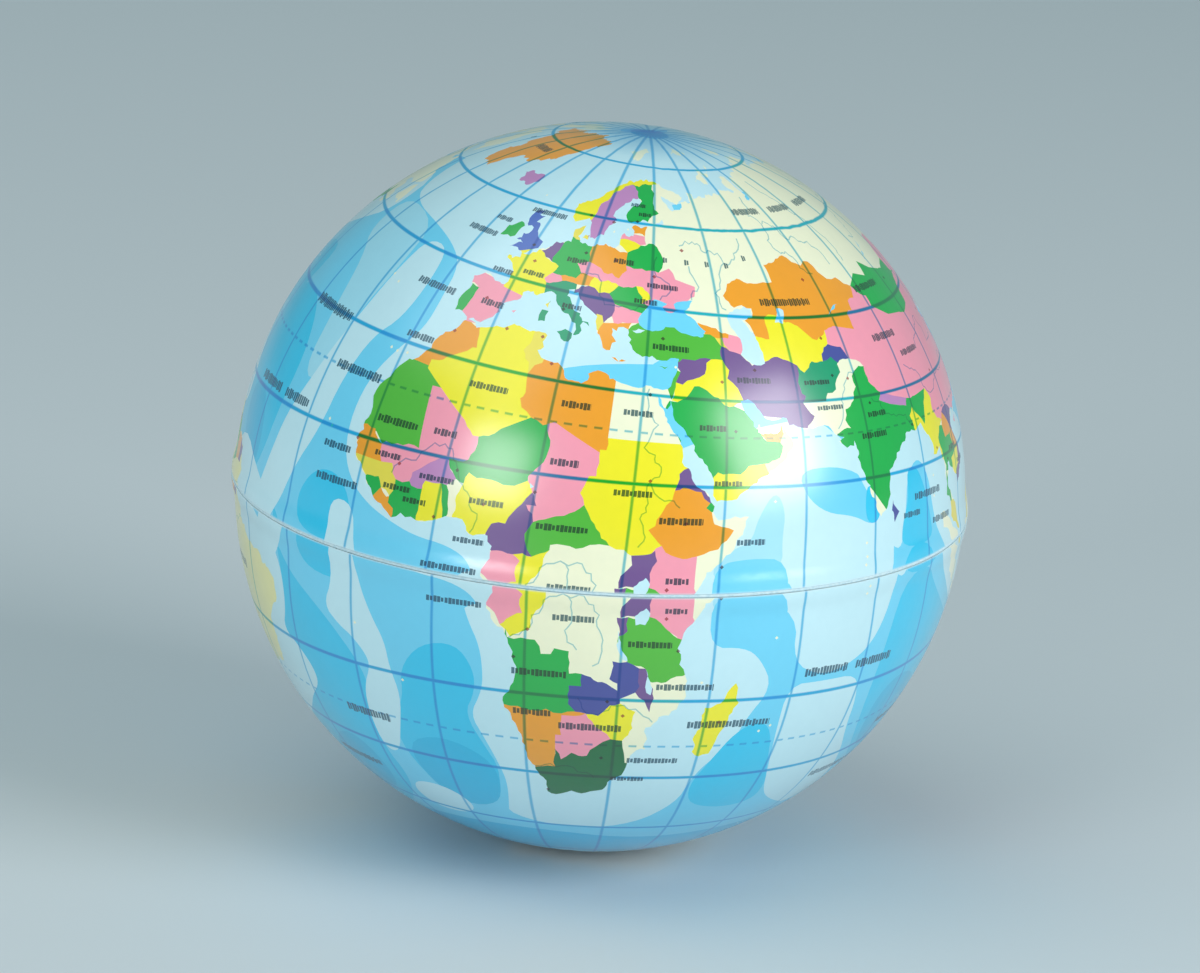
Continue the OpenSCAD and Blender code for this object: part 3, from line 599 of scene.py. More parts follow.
# Rivers, as centre lines.
RIVERS = """
31,31 31,27 33,25 31,21 34,18 32.5,15.5 32.5,12 31.5,9.5 31.7,5
32.5,15.5 35,12.5 37.5,11.5
12.4,-6 15.5,-4.2 17.5,-0.5 20.5,2 23,2 25.3,0.5 26,-3 26.9,-6 25.6,-9.5
20.5,2 22,-1 21,-4 23,-7
6,4.5 6.7,7.5 4.5,10.5 1,15 -1,17 -4,15.5 -6,13.5 -9,11
36,-18.8 33,-16.5 29,-16 26,-17.7 23.5,-15
16.5,-28.6 20,-28.5 24,-29.2 27,-30.3
47,46 45,48.7 47,51 49,54 46,56 41,57.5 37,56.5
49,54 53,55.8 56,58.5
69,67.5 66,63 69,61 74,59 81,57 85,53
69,61 67,58 71,56 76,52
83,71 87,66 89,62 92,58 92,53
126,72 124,66 130,62.5 119,60.5 108,55.5
141,53 137,49 132,48 126,51
121.8,31.5 117,30.5 112,29.8 107,29.5 103,28.5 100,27 97,31 92,34
119,37.7 114,35 110,35 110,40 105,37.5 101,35.5
89,22.5 87,25 81,26 78,29.5
68,24.5 70,28.5 72,33 76,35
29.5,45.2 26,44 22.5,44.3 19,45.5 18.8,48 13.5,48.6
39,47.2 41,49.5 39,53
32,46.5 34.5,48.5 31,50.5 31,54
-50.5,-0.5 -55,-2 -60,-3.3 -65,-3.3 -70,-4 -73.5,-4.5
-60,-3.3 -63,-8 -65,-10.5
-54.5,-2.4 -57,-7 -56,-12
-58.3,-34 -60.5,-32 -58.8,-27.3 -54.5,-25.5 -51,-20.5
-89.5,29.3 -91,32 -89.5,36.8 -91,42 -93,46.5
-89.5,36.8 -94,39 -99,43 -104,48 -110,47.5
-134,69 -128,65.5 -123,61.8 -117,61
-165,62.5 -158,63 -150,65.5 -142,65
144,-37 142,-34.2 147,-36
"""

# A row of plain blocks stands for each place name: longitude,latitude,length,height in degrees.
NAMES = """
-21,39.6,10,1.3 -20,51.4,9,1.3 -15,54.8,5,1.1 -7,58.4,11,1.2 -6,45.6,5,1 -16,31.4,6,1.2 -28,23.6,11,1.5
-24,12.5,6,1.2 -24,7.6,9,1.3 3.5,3.2,5,1 -1,-1.3,9,1.1 -51,16.5,10,1.6 -39,16.5,8,1.6 13,-11.3,8.5,1.3
31,-5.6,7,1.2 36,-12.6,9.5,1.2 42,-19.3,15,1.5 32.5,-26.3,9,1.2 30,-30.3,6,1 13.2,-18.2,6,1.3
20.5,-20.2,10.5,1.4 62,-11.2,9,1.7 73,-11.2,9,1.7 34.5,9.3,7,1.3 19,-2,6.5,1.2 27,13.4,6,1.2
16.5,17.2,4.5,1.3 -3.5,18.6,4,1.2 16.5,26.6,5,1.3 27,26.6,5,1.2 0,26.8,7,1.2 -14.5,18.4,8,1.3
5,9.4,5.5,1.1 31,38.4,7,1.2 56,47.6,14,1.4 32.5,53.6,1.2,1.2 38,53.6,1.2,1.2 43.5,53.6,1.2,1.2
49,53.6,1.2,1.2 55,55,1.2,1.2 88,48.4,12,1.3 85,40,9,1.5 93,36,8,1.3 73.5,22.6,6.5,1.3 76,26.4,5,1.2
82.5,7.3,5,1.1 40,25,5,1.2 47.5,33.8,7,1.2 62,33.4,6,1 64,28.6,6,1 43,15.6,5,1 20.5,52.2,5,1.1
9.5,50.7,5,1.1 26.5,45.8,5,1 29,48.8,7,1 12,42.6,4,1 -4.5,39.8,5,1.2 1,46.6,5,1 16,7,8,1.2 -10,9,5,1
-6,7.6,4,1 -13,13.4,5,1 -4,11.6,6,1 36.5,0,3.5,1.1 47.5,6,5,1.1 22,64,5,1 25,62,4,1 60,64,12,1.6
78,64,12,1.6 96,64,12,1.6 86,10,9,1.4 92,5,7,1.2 102,15.6,4,1 106,12.4,4,1 112,0.4,6,1.1 121,12,5,1.1
136,36.3,5,1.1 122,-24,12,1.8 139,-24,6,1.6 150,30,16,1.8 160,4,14,1.8 -165,12,12,1.8 -150,12,10,1.8
-140,-24,16,1.8 -110,58,14,2 -92,58,10,2 -108,40,8,1.8 -96,40,10,1.8 -106,24,7,1.3 -82,20.8,4,1
-58,-8,9,1.8 -66,-34,9,1.4 -70,4,6,1.1 -66,7.5,6,1 -76,-10,4,1.1 -65,-16.5,5,1 -72,-30,1.2,5
-62,72,1.5,1.2 -44,72,12,1.8 -45,30,14,1.8 -20,-24,10,1.7 -33,-36,14,1.7 76,-34,16,1.7 90,-26,10,1.4
-20,-80,30,1.6 60,-78,34,1.6 -120,-82,40,1.6
"""

# Capitals, as red dots.
TOWNS = """
3,36.5 -6.8,33.9 10.2,36.6 13.2,32.6 31.2,30 32.5,15.6 38.7,9 36.8,-1.3 45.3,2.2 15.3,-4.3 13.3,-9
28.3,-15.4 31,-17.8 28,-26 18.6,-33.7 47.5,-18.9 39,-6.5 -17.2,14.6 -8,12.6 2.1,13.5 15,12.1 7.4,9.1
-0.2,5.9 46.7,24.6 44.4,33.3 51.4,35.7 69.2,34.5 73,33.7 77.2,28.6 32.9,39.9 37.6,55.7 2.3,48.8 -3.7,40.4
13.4,52.5 12.5,41.9 21,52.2 30.5,50.4 24.9,60.3 18,59.4 10.7,60 0,51.6 71.4,51.2 69.2,41.3 106.9,47.9
116.4,39.9 103,30.7 88.4,22.8 96.1,16.9 100.5,14 106.8,-6.3 121,14.7 139.6,35.7 127,37.5 149.1,-35.3
116,-31.8 174.8,-41.2 -77,38.9 -75.7,45.4 -99.1,19.4 -74.1,4.7 -66.9,10.3 -77,-12 -70.7,-33.4 -58.5,-34.7
-47.9,-15.8 -118.2,34.2 -87.7,41.6 -123,49.3 -149.9,61.3
"""


# Beyond this latitude an outline only closes at a pole, so it isn't bent and doesn't lean.
POLE_EDGE = 88


def chance(x, y):
    """A number from 0 to 1 that looks random, and is always the same for the same x and y."""
    value = math.sin(x * 12.9898 + y * 78.233) * 43758.5453
    return value - math.floor(value)


def rough(a, b, reach, shortest):
    """Points from a up to but not including b, on an edge bent at random as a coast is."""
    length = math.dist(a, b)
    if length < shortest:
        return [a]
    first, second = sorted((a, b))
    mx = (a[0] + b[0]) / 2
    my = (a[1] + b[1]) / 2
    bend = (chance(round(mx, 2), round(my, 2)) - 0.5) * reach
    middle = (mx - bend * (second[1] - first[1]), my + bend * (second[0] - first[0]))
    return rough(a, middle, reach, shortest) + rough(middle, b, reach, shortest)


def pairs(text):
    """The longitude,latitude words of a text as pairs of numbers."""
    return [tuple(float(n) for n in word.split(",")) for word in text.split()]


def read_areas(text, reach, shortest, longest):
    """(ink, outline) for each ink in the text and the points that follow it. Edges longer
    than longest, and those at the poles, stay straight."""
    drawn = []
    for word in text.split():
        if "," in word:
            drawn[-1][1].extend(pairs(word))
        else:
            drawn.append((word, []))
    areas = []
    for ink, points in drawn:
        outline = []
        for a, b in zip(points, points[1:] + points[:1]):
            straight = math.dist(a, b) > longest or max(abs(a[1]), abs(b[1])) > POLE_EDGE
            outline += [a] if straight else rough(a, b, reach, shortest)
        areas.append((ink, outline))
    return areas


def rounded(points, rounds):
    """An outline with its corners cut, as a drawn curve."""
    for _ in range(rounds):
        cut = []
        for a, b in zip(points, points[1:] + points[:1]):
            cut.append((a[0] * 0.75 + b[0] * 0.25, a[1] * 0.75 + b[1] * 0.25))
            cut.append((a[0] * 0.25 + b[0] * 0.75, a[1] * 0.25 + b[1] * 0.75))
        points = cut
    return points


land = read_areas(LAND, reach=0.42, shortest=1.1, longest=60)
for x, y in pairs(ISLETS):
    land.append(("c", [(x - 0.3, y), (x, y - 0.25), (x + 0.3, y), (x, y + 0.3)]))
countries = read_areas(COUNTRIES, reach=0.26, shortest=1.4, longest=4.5)
lakes = read_areas(LAKES, reach=0.3, shortest=1.1, longest=60)
tints = read_areas(SEA, reach=0.0, shortest=90, longest=400)
sea = [(ink, rounded(outline, 2)) for ink, outline in tints]

RIVER_HALF = 0.11
rivers = []
for line in RIVERS.strip().splitlines():
    points = pairs(line)
    bent = []
    for a, b in zip(points, points[1:]):
        bent += rough(a, b, 0.5, 1.2)
    bent.append(points[-1])
    left = []
    right = []
    for i, p in enumerate(bent):
        a = bent[max(i - 1, 0)]
        b = bent[min(i + 1, len(bent) - 1)]
        run = math.dist(a, b)
        nx = -(b[1] - a[1]) / run * RIVER_HALF / max(0.3, math.cos(math.radians(p[1])))
        ny = (b[0] - a[0]) / run * RIVER_HALF
        left.append((p[0] + nx, p[1] + ny))
        right.append((p[0] - nx, p[1] - ny))
    rivers.append(left + right[::-1])

names = []
for word in NAMES.split():
    x, y, length, height = (float(n) for n in word.split(","))
    low = y - height / 2
    names.append([(x, low), (x + length, low), (x + length, low + height), (x, low + height)])

TOWN_HALF = 0.34
towns = []
for x, y in pairs(TOWNS):
    wide = TOWN_HALF / math.cos(math.radians(y))
    towns.append([(x - wide, y), (x, y - TOWN_HALF), (x + wide, y), (x, y + TOWN_HALF)])


def inside(points, outline):
    """True for each point within the outline."""
    ring = np.array(outline)
    low = ring.min(axis=0)
    high = ring.max(axis=0)
    near = np.flatnonzero(((points > low) & (points < high)).all(axis=1))
    x = points[near, 0]
    y = points[near, 1]
    odd = np.zeros(len(near), bool)
    x0, y0 = ring[-1]
    for x1, y1 in ring:
        if y1 != y0:
            odd ^= ((y0 > y) != (y1 > y)) & (x < (x1 - x0) * (y - y0) / (y1 - y0) + x0)
        x0, y0 = x1, y1
    result = np.zeros(len(points), bool)
    result[near] = odd
    return result


def both_sides(outline):
    """The outline, and copies a full turn away where it passes the 180th meridian."""
    copies = [outline]
    if max(p[0] for p in outline) > 180:
        copies.append([(p[0] - 360, p[1]) for p in outline])
    if min(p[0] for p in outline) < -180:
        copies.append([(p[0] + 360, p[1]) for p in outline])
    return copies


def linear(ink):
    """An sRGB ink as linear light."""
    parts = [c / 255 for c in INKS[ink]]
    return [p / 12.92 if p < 0.04045 else ((p + 0.055) / 1.055) ** 2.4 for p in parts]


def facing(azimuth, elevation, roll):
    """Rows right, up and toward of someone who looks at the ball from there, tilted by roll."""
    a, e, r = (math.radians(v) for v in (azimuth, elevation, roll))
    toward = Vector((math.sin(a) * math.cos(e), -math.cos(a) * math.cos(e), math.sin(e)))
    right = Vector((math.cos(a), math.sin(a), 0))
    up = toward.cross(right)
    tilted = right * math.cos(r) + up * math.sin(r)
    return Matrix((tilted, toward.cross(tilted), toward))


def direction(longitude, latitude):
    """The unit vector from the centre to a place in degrees."""
    turn = math.radians(longitude)
    rise = math.radians(latitude)
    across = math.cos(rise)
    return Vector((across * math.sin(turn), -across * math.cos(turn), math.sin(rise)))


def north_stretch(x, y):
    """How far east and north the moulded film of the north half moves a printed place."""
    east = -2.4 * math.sin(math.radians((x - 40) * 180 / 140)) if 40 < x < 180 else 0.0
    if y < 30:
        pull = math.sin(math.radians(min(3 * (30 - y), 90)))
    else:
        pull = -0.45 * math.sin(math.radians(6 * (min(y, 60) - 30)))
    return east, 3.8 * pull * math.sin(math.radians(x))


def unstretched(x, y, stretch):
    """The printed place that the film's stretch moves to x, y."""
    px, py = x, y
    for _ in range(6):
        east, up = stretch(px, py)
        px = x - east
        py = y - up
    return px, py


LONGEST_EDGE = 2.5
LABEL_PITCH = 0.62
WELD = 0.002


def turned(outline, lean, stretch):
    """A printed outline's places on the ball, after the film's stretch and its lean. Long edges
    are cut short, so that they lie on the ball."""
    short = []
    for a, b in zip(outline, outline[1:] + outline[:1]):
        cuts = math.ceil(math.dist(a, b) / LONGEST_EDGE)
        for i in range(cuts):
            part = i / cuts
            short.append((a[0] + (b[0] - a[0]) * part, a[1] + (b[1] - a[1]) * part))
    places = []
    for x, y in short:
        if abs(y) < POLE_EDGE:
            east, up = stretch(x, y)
            x += east
            y += up
            way = lean @ direction(x, y)
            there = math.degrees(math.atan2(way.x, -way.y))
            x += (there - x + 180) % 360 - 180
            y = math.degrees(math.asin(way.z))
        places.append((x, y))
    return places


def map_mesh(side, lean, stretch):
    """The printed outer surface of one half, cut along every outline of the map.
    Returns points in degrees, triangles, and each triangle's ink and marks."""
    sea_here, land_here, countries_here, lakes_here = (
        [(ink, turned(outline, lean, stretch)) for ink, outline in group]
        for group in (sea, land, countries, lakes)
    )
    rivers_here, names_here, towns_here = (
        [turned(outline, lean, stretch) for outline in group] for group in (rivers, names, towns)
    )
    edge = math.degrees(math.asin(SEAM_HALF / outer_radius(0)))
    low, high = (edge, 90.0) if side > 0 else (-90.0, -edge)
    points = []
    edges = []

    def add(outline):
        ys = [p[1] for p in outline]
        if max(ys) < low - 1 or min(ys) > high + 1:
            return
        start = len(points)
        points.extend(outline)
        count = len(outline)
        edges.extend((start + i, start + (i + 1) % count) for i in range(count))

    for group in (land_here, countries_here, lakes_here, sea_here):
        for _, outline in group:
            for copy in both_sides(outline):
                add(copy)
    for group in (rivers_here, names_here, towns_here):
        for outline in group:
            for copy in both_sides(outline):
                add(copy)
    add([(-180, low), (180, low), (180, high), (-180, high)])
    rows = [edge, 0.9, 1.4, 1.9, 2.4, 2.9, 3.4, 4.0, 4.8, 6.0]
    rows += [7.5 + LONGEST_EDGE * i for i in range(33)] + [89.0, 90.0]
    for number, row in enumerate(rows):
        wanted = LONGEST_EDGE / max(math.cos(math.radians(row)), 0.02)
        step = min((s for s in (2.5, 3, 3.75, 5, 7.5, 10, 15) if s >= wanted - 0.6), default=15)
        shift = 0.5 * step * (number % 2)
        turn = -180 + shift
        while turn < 180.001:
            points.append((turn, side * row))
            turn += step
        points.append((-180, side * row))
        points.append((180, side * row))
    flat = [Vector((round(x, 3), round(y, 3))) for x, y in points]
    found, _, triangles, _, _, _ = delaunay_2d_cdt(flat, edges, [], 0, WELD, False)
    found = np.array([(p[0], p[1]) for p in found])
    triangles = np.array([t for t in triangles if len(t) == 3])
    centres = found[triangles].mean(axis=1)
    keep = (centres[:, 1] > low) & (centres[:, 1] < high) & (abs(centres[:, 0]) < 180)
    triangles = triangles[keep]
    centres = centres[keep]
    count = len(triangles)
    colour = np.tile(linear("2"), (count, 1))
    for ink, outline in sea_here:
        for copy in both_sides(outline):
            colour[inside(centres, copy)] = linear(ink)
    dry = np.zeros(count, bool)
    for ink, outline in land_here:
        for copy in both_sides(outline):
            hit = inside(centres, copy)
            dry |= hit
            colour[hit] = linear(ink)
    for ink, outline in countries_here:
        colour[inside(centres, outline) & dry] = linear(ink)
    for ink, outline in lakes_here:
        wet = inside(centres, outline)
        colour[wet] = linear(ink)
        dry &= ~wet
    river = np.zeros(count)
    for outline in rivers_here:
        river[inside(centres, outline) & dry] = 1
    town = np.zeros(count)
    for outline in towns_here:
        town[inside(centres, outline)] = 1
    name = np.full(count, -1)
    for number, outline in enumerate(names_here):
        name[inside(centres, outline)] = number
    return found, triangles, colour, river, town, name


def on_ball(longitude, latitude, inset=0.0):
    """(point in mm, outward normal) at a place in degrees on the skin or inside it."""
    turn = math.radians(longitude)
    rise = math.radians(latitude)
    radius = outer_radius(rise)
    slope = (outer_radius(rise + 0.0005) - outer_radius(rise - 0.0005)) / 0.001
    out = (math.cos(rise) * math.sin(turn), -math.cos(rise) * math.cos(turn), math.sin(rise))
    up = (-math.sin(rise) * math.sin(turn), math.sin(rise) * math.cos(turn), math.cos(rise))
    normal = Vector(out) - Vector(up) * (slope / radius)
    return Vector(out) * (radius - inset), normal.normalized()


# The inner face takes a place between the grid's lines, so no line crosses it.
UNPRINTED = direction(82.5, 3)
BARE_SKIN = (0.80, 0.88, 0.86, 1.0)
RIVER_MARK = 0.5
TOWN_MARK = 1.0


def printed_skin(name, side, lean, stretch):
    """One half of the skin as a closed shell, with its print leaning and stretched on the ball."""
    found, triangles, colour, river, town, words = map_mesh(side, lean, stretch)
    back = lean.transposed()
    vertices = []
    chart = []
    normals = []
    index = {}
    place = np.zeros(len(found), int)
    rim = {}
    edge = math.degrees(math.asin(SEAM_HALF / outer_radius(0)))
    for i in sorted(set(triangles.ravel().tolist())):
        x, y = found[i]
        if abs(y) > 89.95:
            x = 0.0
            y = 90.0 * side
        key = (round((x + 540.0) % 360.0, 2), round(y, 3))
        if key not in index:
            index[key] = len(vertices)
            point, normal = on_ball(x, y)
            vertices.append(point)
            normals.append(normal)
            east, south, north = back @ direction(x, y)
            longitude = math.degrees(math.atan2(east, -south))
            latitude = math.degrees(math.asin(max(-1.0, min(1.0, north))))
            chart.append(direction(*unstretched(longitude, latitude, stretch)))
            if abs(abs(y) - edge) < 0.003:
                rim[(x + 540.0) % 360.0] = index[key]
        place[i] = index[key]
    faces = []
    corner_normals = []
    corner_ink = []
    corner_marks = []
    for t, (a, b, c) in enumerate(triangles):
        ids = (int(place[a]), int(place[b]), int(place[c]))
        if len(set(ids)) < 3:
            continue
        faces.append(ids)
        outline = names[words[t]] if words[t] >= 0 else None
        for vertex in ids:
            corner_normals.append(normals[vertex])
            corner_ink.append((*colour[t], 1.0))
            along = 0.0
            up = 0.0
            if outline:
                east, south, north = chart[vertex]
                along = (math.degrees(math.atan2(east, -south)) - outline[0][0]) / LABEL_PITCH
                up = math.degrees(math.asin(north)) - outline[0][1]
                up /= outline[2][1] - outline[0][1]
            mark = RIVER_MARK * river[t] + TOWN_MARK * town[t]
            corner_marks.append((mark, along, up, 1.0 if outline else 0.0))

    # The rim and the inner face follow the same longitudes as the printed edge.
    turns = sorted(rim)
    ring = [rim[t] for t in turns]
    count = len(ring)
    inner_rows = [edge] + [1.5, 3.0, 5.0] + [10.0 + 8.0 * i for i in range(10)]
    starts = []
    for row in inner_rows:
        starts.append(len(vertices))
        for t in turns:
            point, normal = on_ball(t - 180.0, side * row, SKIN_T)
            if row == edge:
                point.z = side * SEAM_HALF
            vertices.append(point)
            normals.append(-normal)
            chart.append(chart[rim[t]] if row == edge else UNPRINTED)
    pole = len(vertices)
    point, normal = on_ball(0, 90 * side, SKIN_T)
    vertices.append(point)
    normals.append(-normal)
    chart.append(UNPRINTED)
    flat_down = Vector((0, 0, -side))

    def add_face(ids, given):
        ids = ids if side > 0 else ids[::-1]
        given = given if side > 0 else given[::-1]
        faces.append(tuple(ids))
        for normal in given:
            corner_normals.append(normal)
            corner_ink.append(BARE_SKIN)
            corner_marks.append((0.0, 0.0, 0.0, 0.0))

    for i in range(count):
        j = (i + 1) % count
        first = starts[0]
        add_face([ring[i], first + i, first + j, ring[j]], [flat_down] * 4)
        for a, b in zip(starts, starts[1:]):
            ids = [a + i, b + i, b + j, a + j]
            add_face(ids, [normals[v] for v in ids])
        ids = [starts[-1] + i, pole, starts[-1] + j]
        add_face(ids, [normals[v] for v in ids])

    piece = new_piece(name, vertices, faces)
    mesh = piece.data
    mesh.polygons.foreach_set("use_smooth", [True] * len(mesh.polygons))
    ink = mesh.attributes.new("ink", "FLOAT_COLOR", "CORNER")
    ink.data.foreach_set("color", [v for c in corner_ink for v in c])
    marks = mesh.attributes.new("marks", "FLOAT_COLOR", "CORNER")
    marks.data.foreach_set("color", [v for c in corner_marks for v in c])
    where = mesh.attributes.new("chart", "FLOAT_VECTOR", "POINT")
    where.data.foreach_set("vector", [v for c in chart for v in c])
    mesh.normals_split_custom_set([tuple(n) for n in corner_normals])
    return piece


# Each half's print sits a few degrees askew of the joint, as film does when it is moulded.
JOINT_VIEW = facing(azimuth=25.5, elevation=16.1, roll=3.8)
NORTH_LEAN = JOINT_VIEW.transposed() @ facing(azimuth=24.8, elevation=15.3, roll=8.0)
north_skin = printed_skin("skin_north", 1, NORTH_LEAN, north_stretch)

print_material = bpy.data.materials.new("printed and varnished skin")
print_material.use_nodes = True
tree = print_material.node_tree
surface = tree.nodes["Principled BSDF"]


def number(operation, *values):
    """A math node fed with sockets or plain numbers."""
    node = tree.nodes.new("ShaderNodeMath")
    node.operation = operation
    for socket, value in zip(node.inputs, values):
        if isinstance(value, (int, float)):
            socket.default_value = value
        else:
            tree.links.new(value, socket)
    return node.outputs["Value"]


def soft_line(distance, half, soft):
    """1 within half of a line and 0 beyond it, with a soft edge; distances in mm."""
    node = tree.nodes.new("ShaderNodeMapRange")
    node.interpolation_type = "SMOOTHSTEP"
    tree.links.new(distance, node.inputs["Value"])
    node.inputs["From Min"].default_value = half + soft
    node.inputs["From Max"].default_value = half - soft
    return node.outputs["Result"]


def overprint(base, tint, amount):
    """base multiplied by an ink where amount is 1."""
    node = tree.nodes.new("ShaderNodeMix")
    node.data_type = "RGBA"
    node.blend_type = "MULTIPLY"
    node.clamp_factor = True
    tree.links.new(base, node.inputs["A"])
    node.inputs["B"].default_value = (*tint, 1)
    tree.links.new(amount, node.inputs["Factor"])
    return node.outputs["Result"]


def read(name):
    """An attribute of the skin's mesh."""
    node = tree.nodes.new("ShaderNodeAttribute")
    node.attribute_name = name
    return node


unit_chart = tree.nodes.new("ShaderNodeVectorMath")
unit_chart.operation = "NORMALIZE"
tree.links.new(read("chart").outputs["Vector"], unit_chart.inputs[0])
chart_parts = tree.nodes.new("ShaderNodeSeparateXYZ")
tree.links.new(unit_chart.outputs["Vector"], chart_parts.inputs["Vector"])
east, south, north = (chart_parts.outputs[axis] for axis in "XYZ")
longitude = number("DEGREES", number("ARCTAN2", east, number("MULTIPLY", south, -1)))
latitude = number("DEGREES", number("ARCSINE", north))
shrink = number("SUBTRACT", 1, number("MULTIPLY", north, north))
shrink = number("SQRT", number("MAXIMUM", shrink, 0))
MM_PER_DEGREE = BALL_R * math.pi / 180


def from_grid(value, step):
    """Degrees from the nearest multiple of step."""
    turns = number("FRACT", number("ADD", number("DIVIDE", value, step), 0.5))
    return number("MULTIPLY", number("ABSOLUTE", number("SUBTRACT", turns, 0.5)), step)


GRID = 15
meridians = number("MULTIPLY", number("MULTIPLY", from_grid(longitude, GRID), shrink), MM_PER_DEGREE)
meridians = soft_line(meridians, half=0.15, soft=0.09)
parallels = number("MULTIPLY", from_grid(latitude, GRID), MM_PER_DEGREE)
parallels = soft_line(parallels, half=0.19, soft=0.09)
away = number("GREATER_THAN", number("ABSOLUTE", latitude), 5)
parallels = number("MULTIPLY", parallels, away)
TROPIC = 23.44
tropics = number("ABSOLUTE", number("SUBTRACT", number("ABSOLUTE", latitude), TROPIC))
tropics = soft_line(number("MULTIPLY", tropics, MM_PER_DEGREE), half=0.12, soft=0.08)
dashes = number("LESS_THAN", number("FRACT", number("DIVIDE", longitude, 2.5)), 0.55)
tropics = number("MULTIPLY", tropics, dashes)
lines = number("MAXIMUM", number("MULTIPLY", meridians, 0.8), parallels)
lines = number("MAXIMUM", lines, number("MULTIPLY", tropics, 0.75))

marks_in = read("marks")
mark_parts = tree.nodes.new("ShaderNodeSeparateXYZ")
tree.links.new(marks_in.outputs["Color"], mark_parts.inputs["Vector"])
river_amount = number("MULTIPLY", number("COMPARE", mark_parts.outputs["X"], RIVER_MARK, 0.1), 0.6)
town_amount = number("MULTIPLY", number("GREATER_THAN", mark_parts.outputs["X"], 0.9), 0.85)
block = number("FRACT", mark_parts.outputs["Y"])
pick = tree.nodes.new("ShaderNodeTexWhiteNoise")
pick.noise_dimensions = "1D"
tree.links.new(number("FLOOR", mark_parts.outputs["Y"]), pick.inputs["W"])
tall = number("ADD", 0.30, number("MULTIPLY", pick.outputs["Value"], 0.18))
wide = number("ADD", 0.70, number("MULTIPLY", pick.outputs["Value"], 0.2))
ink_marks = number("LESS_THAN", block, wide)
off_middle = number("ABSOLUTE", number("SUBTRACT", mark_parts.outputs["Z"], 0.5))
ink_marks = number("MULTIPLY", ink_marks, number("LESS_THAN", off_middle, tall))
ink_marks = number("MULTIPLY", ink_marks, marks_in.outputs["Alpha"])
ink_marks = number("MULTIPLY", ink_marks, 0.9)

printed = read("ink").outputs["Color"]
printed = overprint(printed, (0.0, 0.42, 0.70), river_amount)
printed = overprint(printed, (0.0, 0.46, 0.76), lines)
printed = overprint(printed, (0.35, 0.05, 0.05), town_amount)
printed = overprint(printed, (0.02, 0.10, 0.15), ink_marks)

# Both poles carry a solid blue disc in a soft haze of the same ink.
from_pole = number("MULTIPLY", shrink, BALL_R)
disc = soft_line(from_pole, half=2.1, soft=0.3)
haze = tree.nodes.new("ShaderNodeMapRange")
tree.links.new(from_pole, haze.inputs["Value"])
haze.inputs["From Min"].default_value = 8.5
haze.inputs["From Max"].default_value = 2.0
haze.inputs["To Max"].default_value = 0.65
polar = number("MAXIMUM", disc, haze.outputs["Result"])
polar = number("MULTIPLY", polar, number("GREATER_THAN", number("ABSOLUTE", latitude), 60))
printed = overprint(printed, (0.02, 0.44, 0.74), polar)

# The print pales in a thin band along the joint, the same all round.
place_in = tree.nodes.new("ShaderNodeTexCoord")
place_parts = tree.nodes.new("ShaderNodeSeparateXYZ")
tree.links.new(place_in.outputs["Object"], place_parts.inputs["Vector"])
from_joint = number("MULTIPLY", number("ABSOLUTE", place_parts.outputs["Z"]), 1 / MM)
joint_band = soft_line(from_joint, half=0.30, soft=0.12)
pale_edge = tree.nodes.new("ShaderNodeMix")
pale_edge.data_type = "RGBA"
tree.links.new(number("MULTIPLY", joint_band, 0.5), pale_edge.inputs["Factor"])
tree.links.new(printed, pale_edge.inputs["A"])
pale_edge.inputs["B"].default_value = (0.70, 0.86, 0.92, 1)
printed = pale_edge.outputs["Result"]

# A little unevenness of the ink, and the varnish's fine orange-peel.
mottle = tree.nodes.new("ShaderNodeTexNoise")
mottle.inputs["Scale"].default_value = 900.0
mottle.inputs["Detail"].default_value = 3.0
tree.links.new(place_in.outputs["Object"], mottle.inputs["Vector"])
mottle_range = tree.nodes.new("ShaderNodeMapRange")
tree.links.new(mottle.outputs["Fac"], mottle_range.inputs["Value"])
mottle_range.inputs["From Min"].default_value = 0.3
mottle_range.inputs["From Max"].default_value = 0.7
mottle_range.inputs["To Min"].default_value = 0.0
mottle_range.inputs["To Max"].default_value = 0.10
printed = overprint(printed, (0.75, 0.82, 0.86), mottle_range.outputs["Result"])
tree.links.new(printed, surface.inputs["Base Color"])

peel = tree.nodes.new("ShaderNodeTexNoise")
peel.inputs["Scale"].default_value = 420.0
peel.inputs["Detail"].default_value = 2.0
tree.links.new(place_in.outputs["Object"], peel.inputs["Vector"])
peel_bump = tree.nodes.new("ShaderNodeBump")
peel_bump.inputs["Strength"].default_value = 0.10
peel_bump.inputs["Distance"].default_value = 0.0004
tree.links.new(peel.outputs["Fac"], peel_bump.inputs["Height"])
tree.links.new(peel_bump.outputs["Normal"], surface.inputs["Normal"])
surface.inputs["Roughness"].default_value = 0.32
surface.inputs["IOR"].default_value = 1.5
surface.inputs["Specular IOR Level"].default_value = 0.25
surface.inputs["Coat Weight"].default_value = 1.0
surface.inputs["Coat IOR"].default_value = 1.65
surface.inputs["Coat Roughness"].default_value = 0.23

north_skin.data.materials.append(print_material)
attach(north_skin, "core")
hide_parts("north_skin")

# --- South half of the printed skin ---------------------------------------------------------------
# The same skin from the other half of the mould. Its print is askew the other way, so the meridians
# step sideways where they cross the joint and the land does not quite meet.
SOUTH_LEAN = JOINT_VIEW.transposed() @ facing(azimuth=25.1, elevation=21.0, roll=3.05)


def south_stretch(x, y):
    """How far east and north the moulded film of the south half moves a printed place."""
    east = -2.0 * math.sin(math.radians((x - 20) * 180 / 160)) if 20 < x < 180 else 0.0
    rise = 2.6 * max(0.0, 1 - (y / 36) ** 2)
    sag = 5.2 * math.sin(math.radians(x - 22)) ** 2 * (1 - (y / 90) ** 2)
    return east, rise - sag


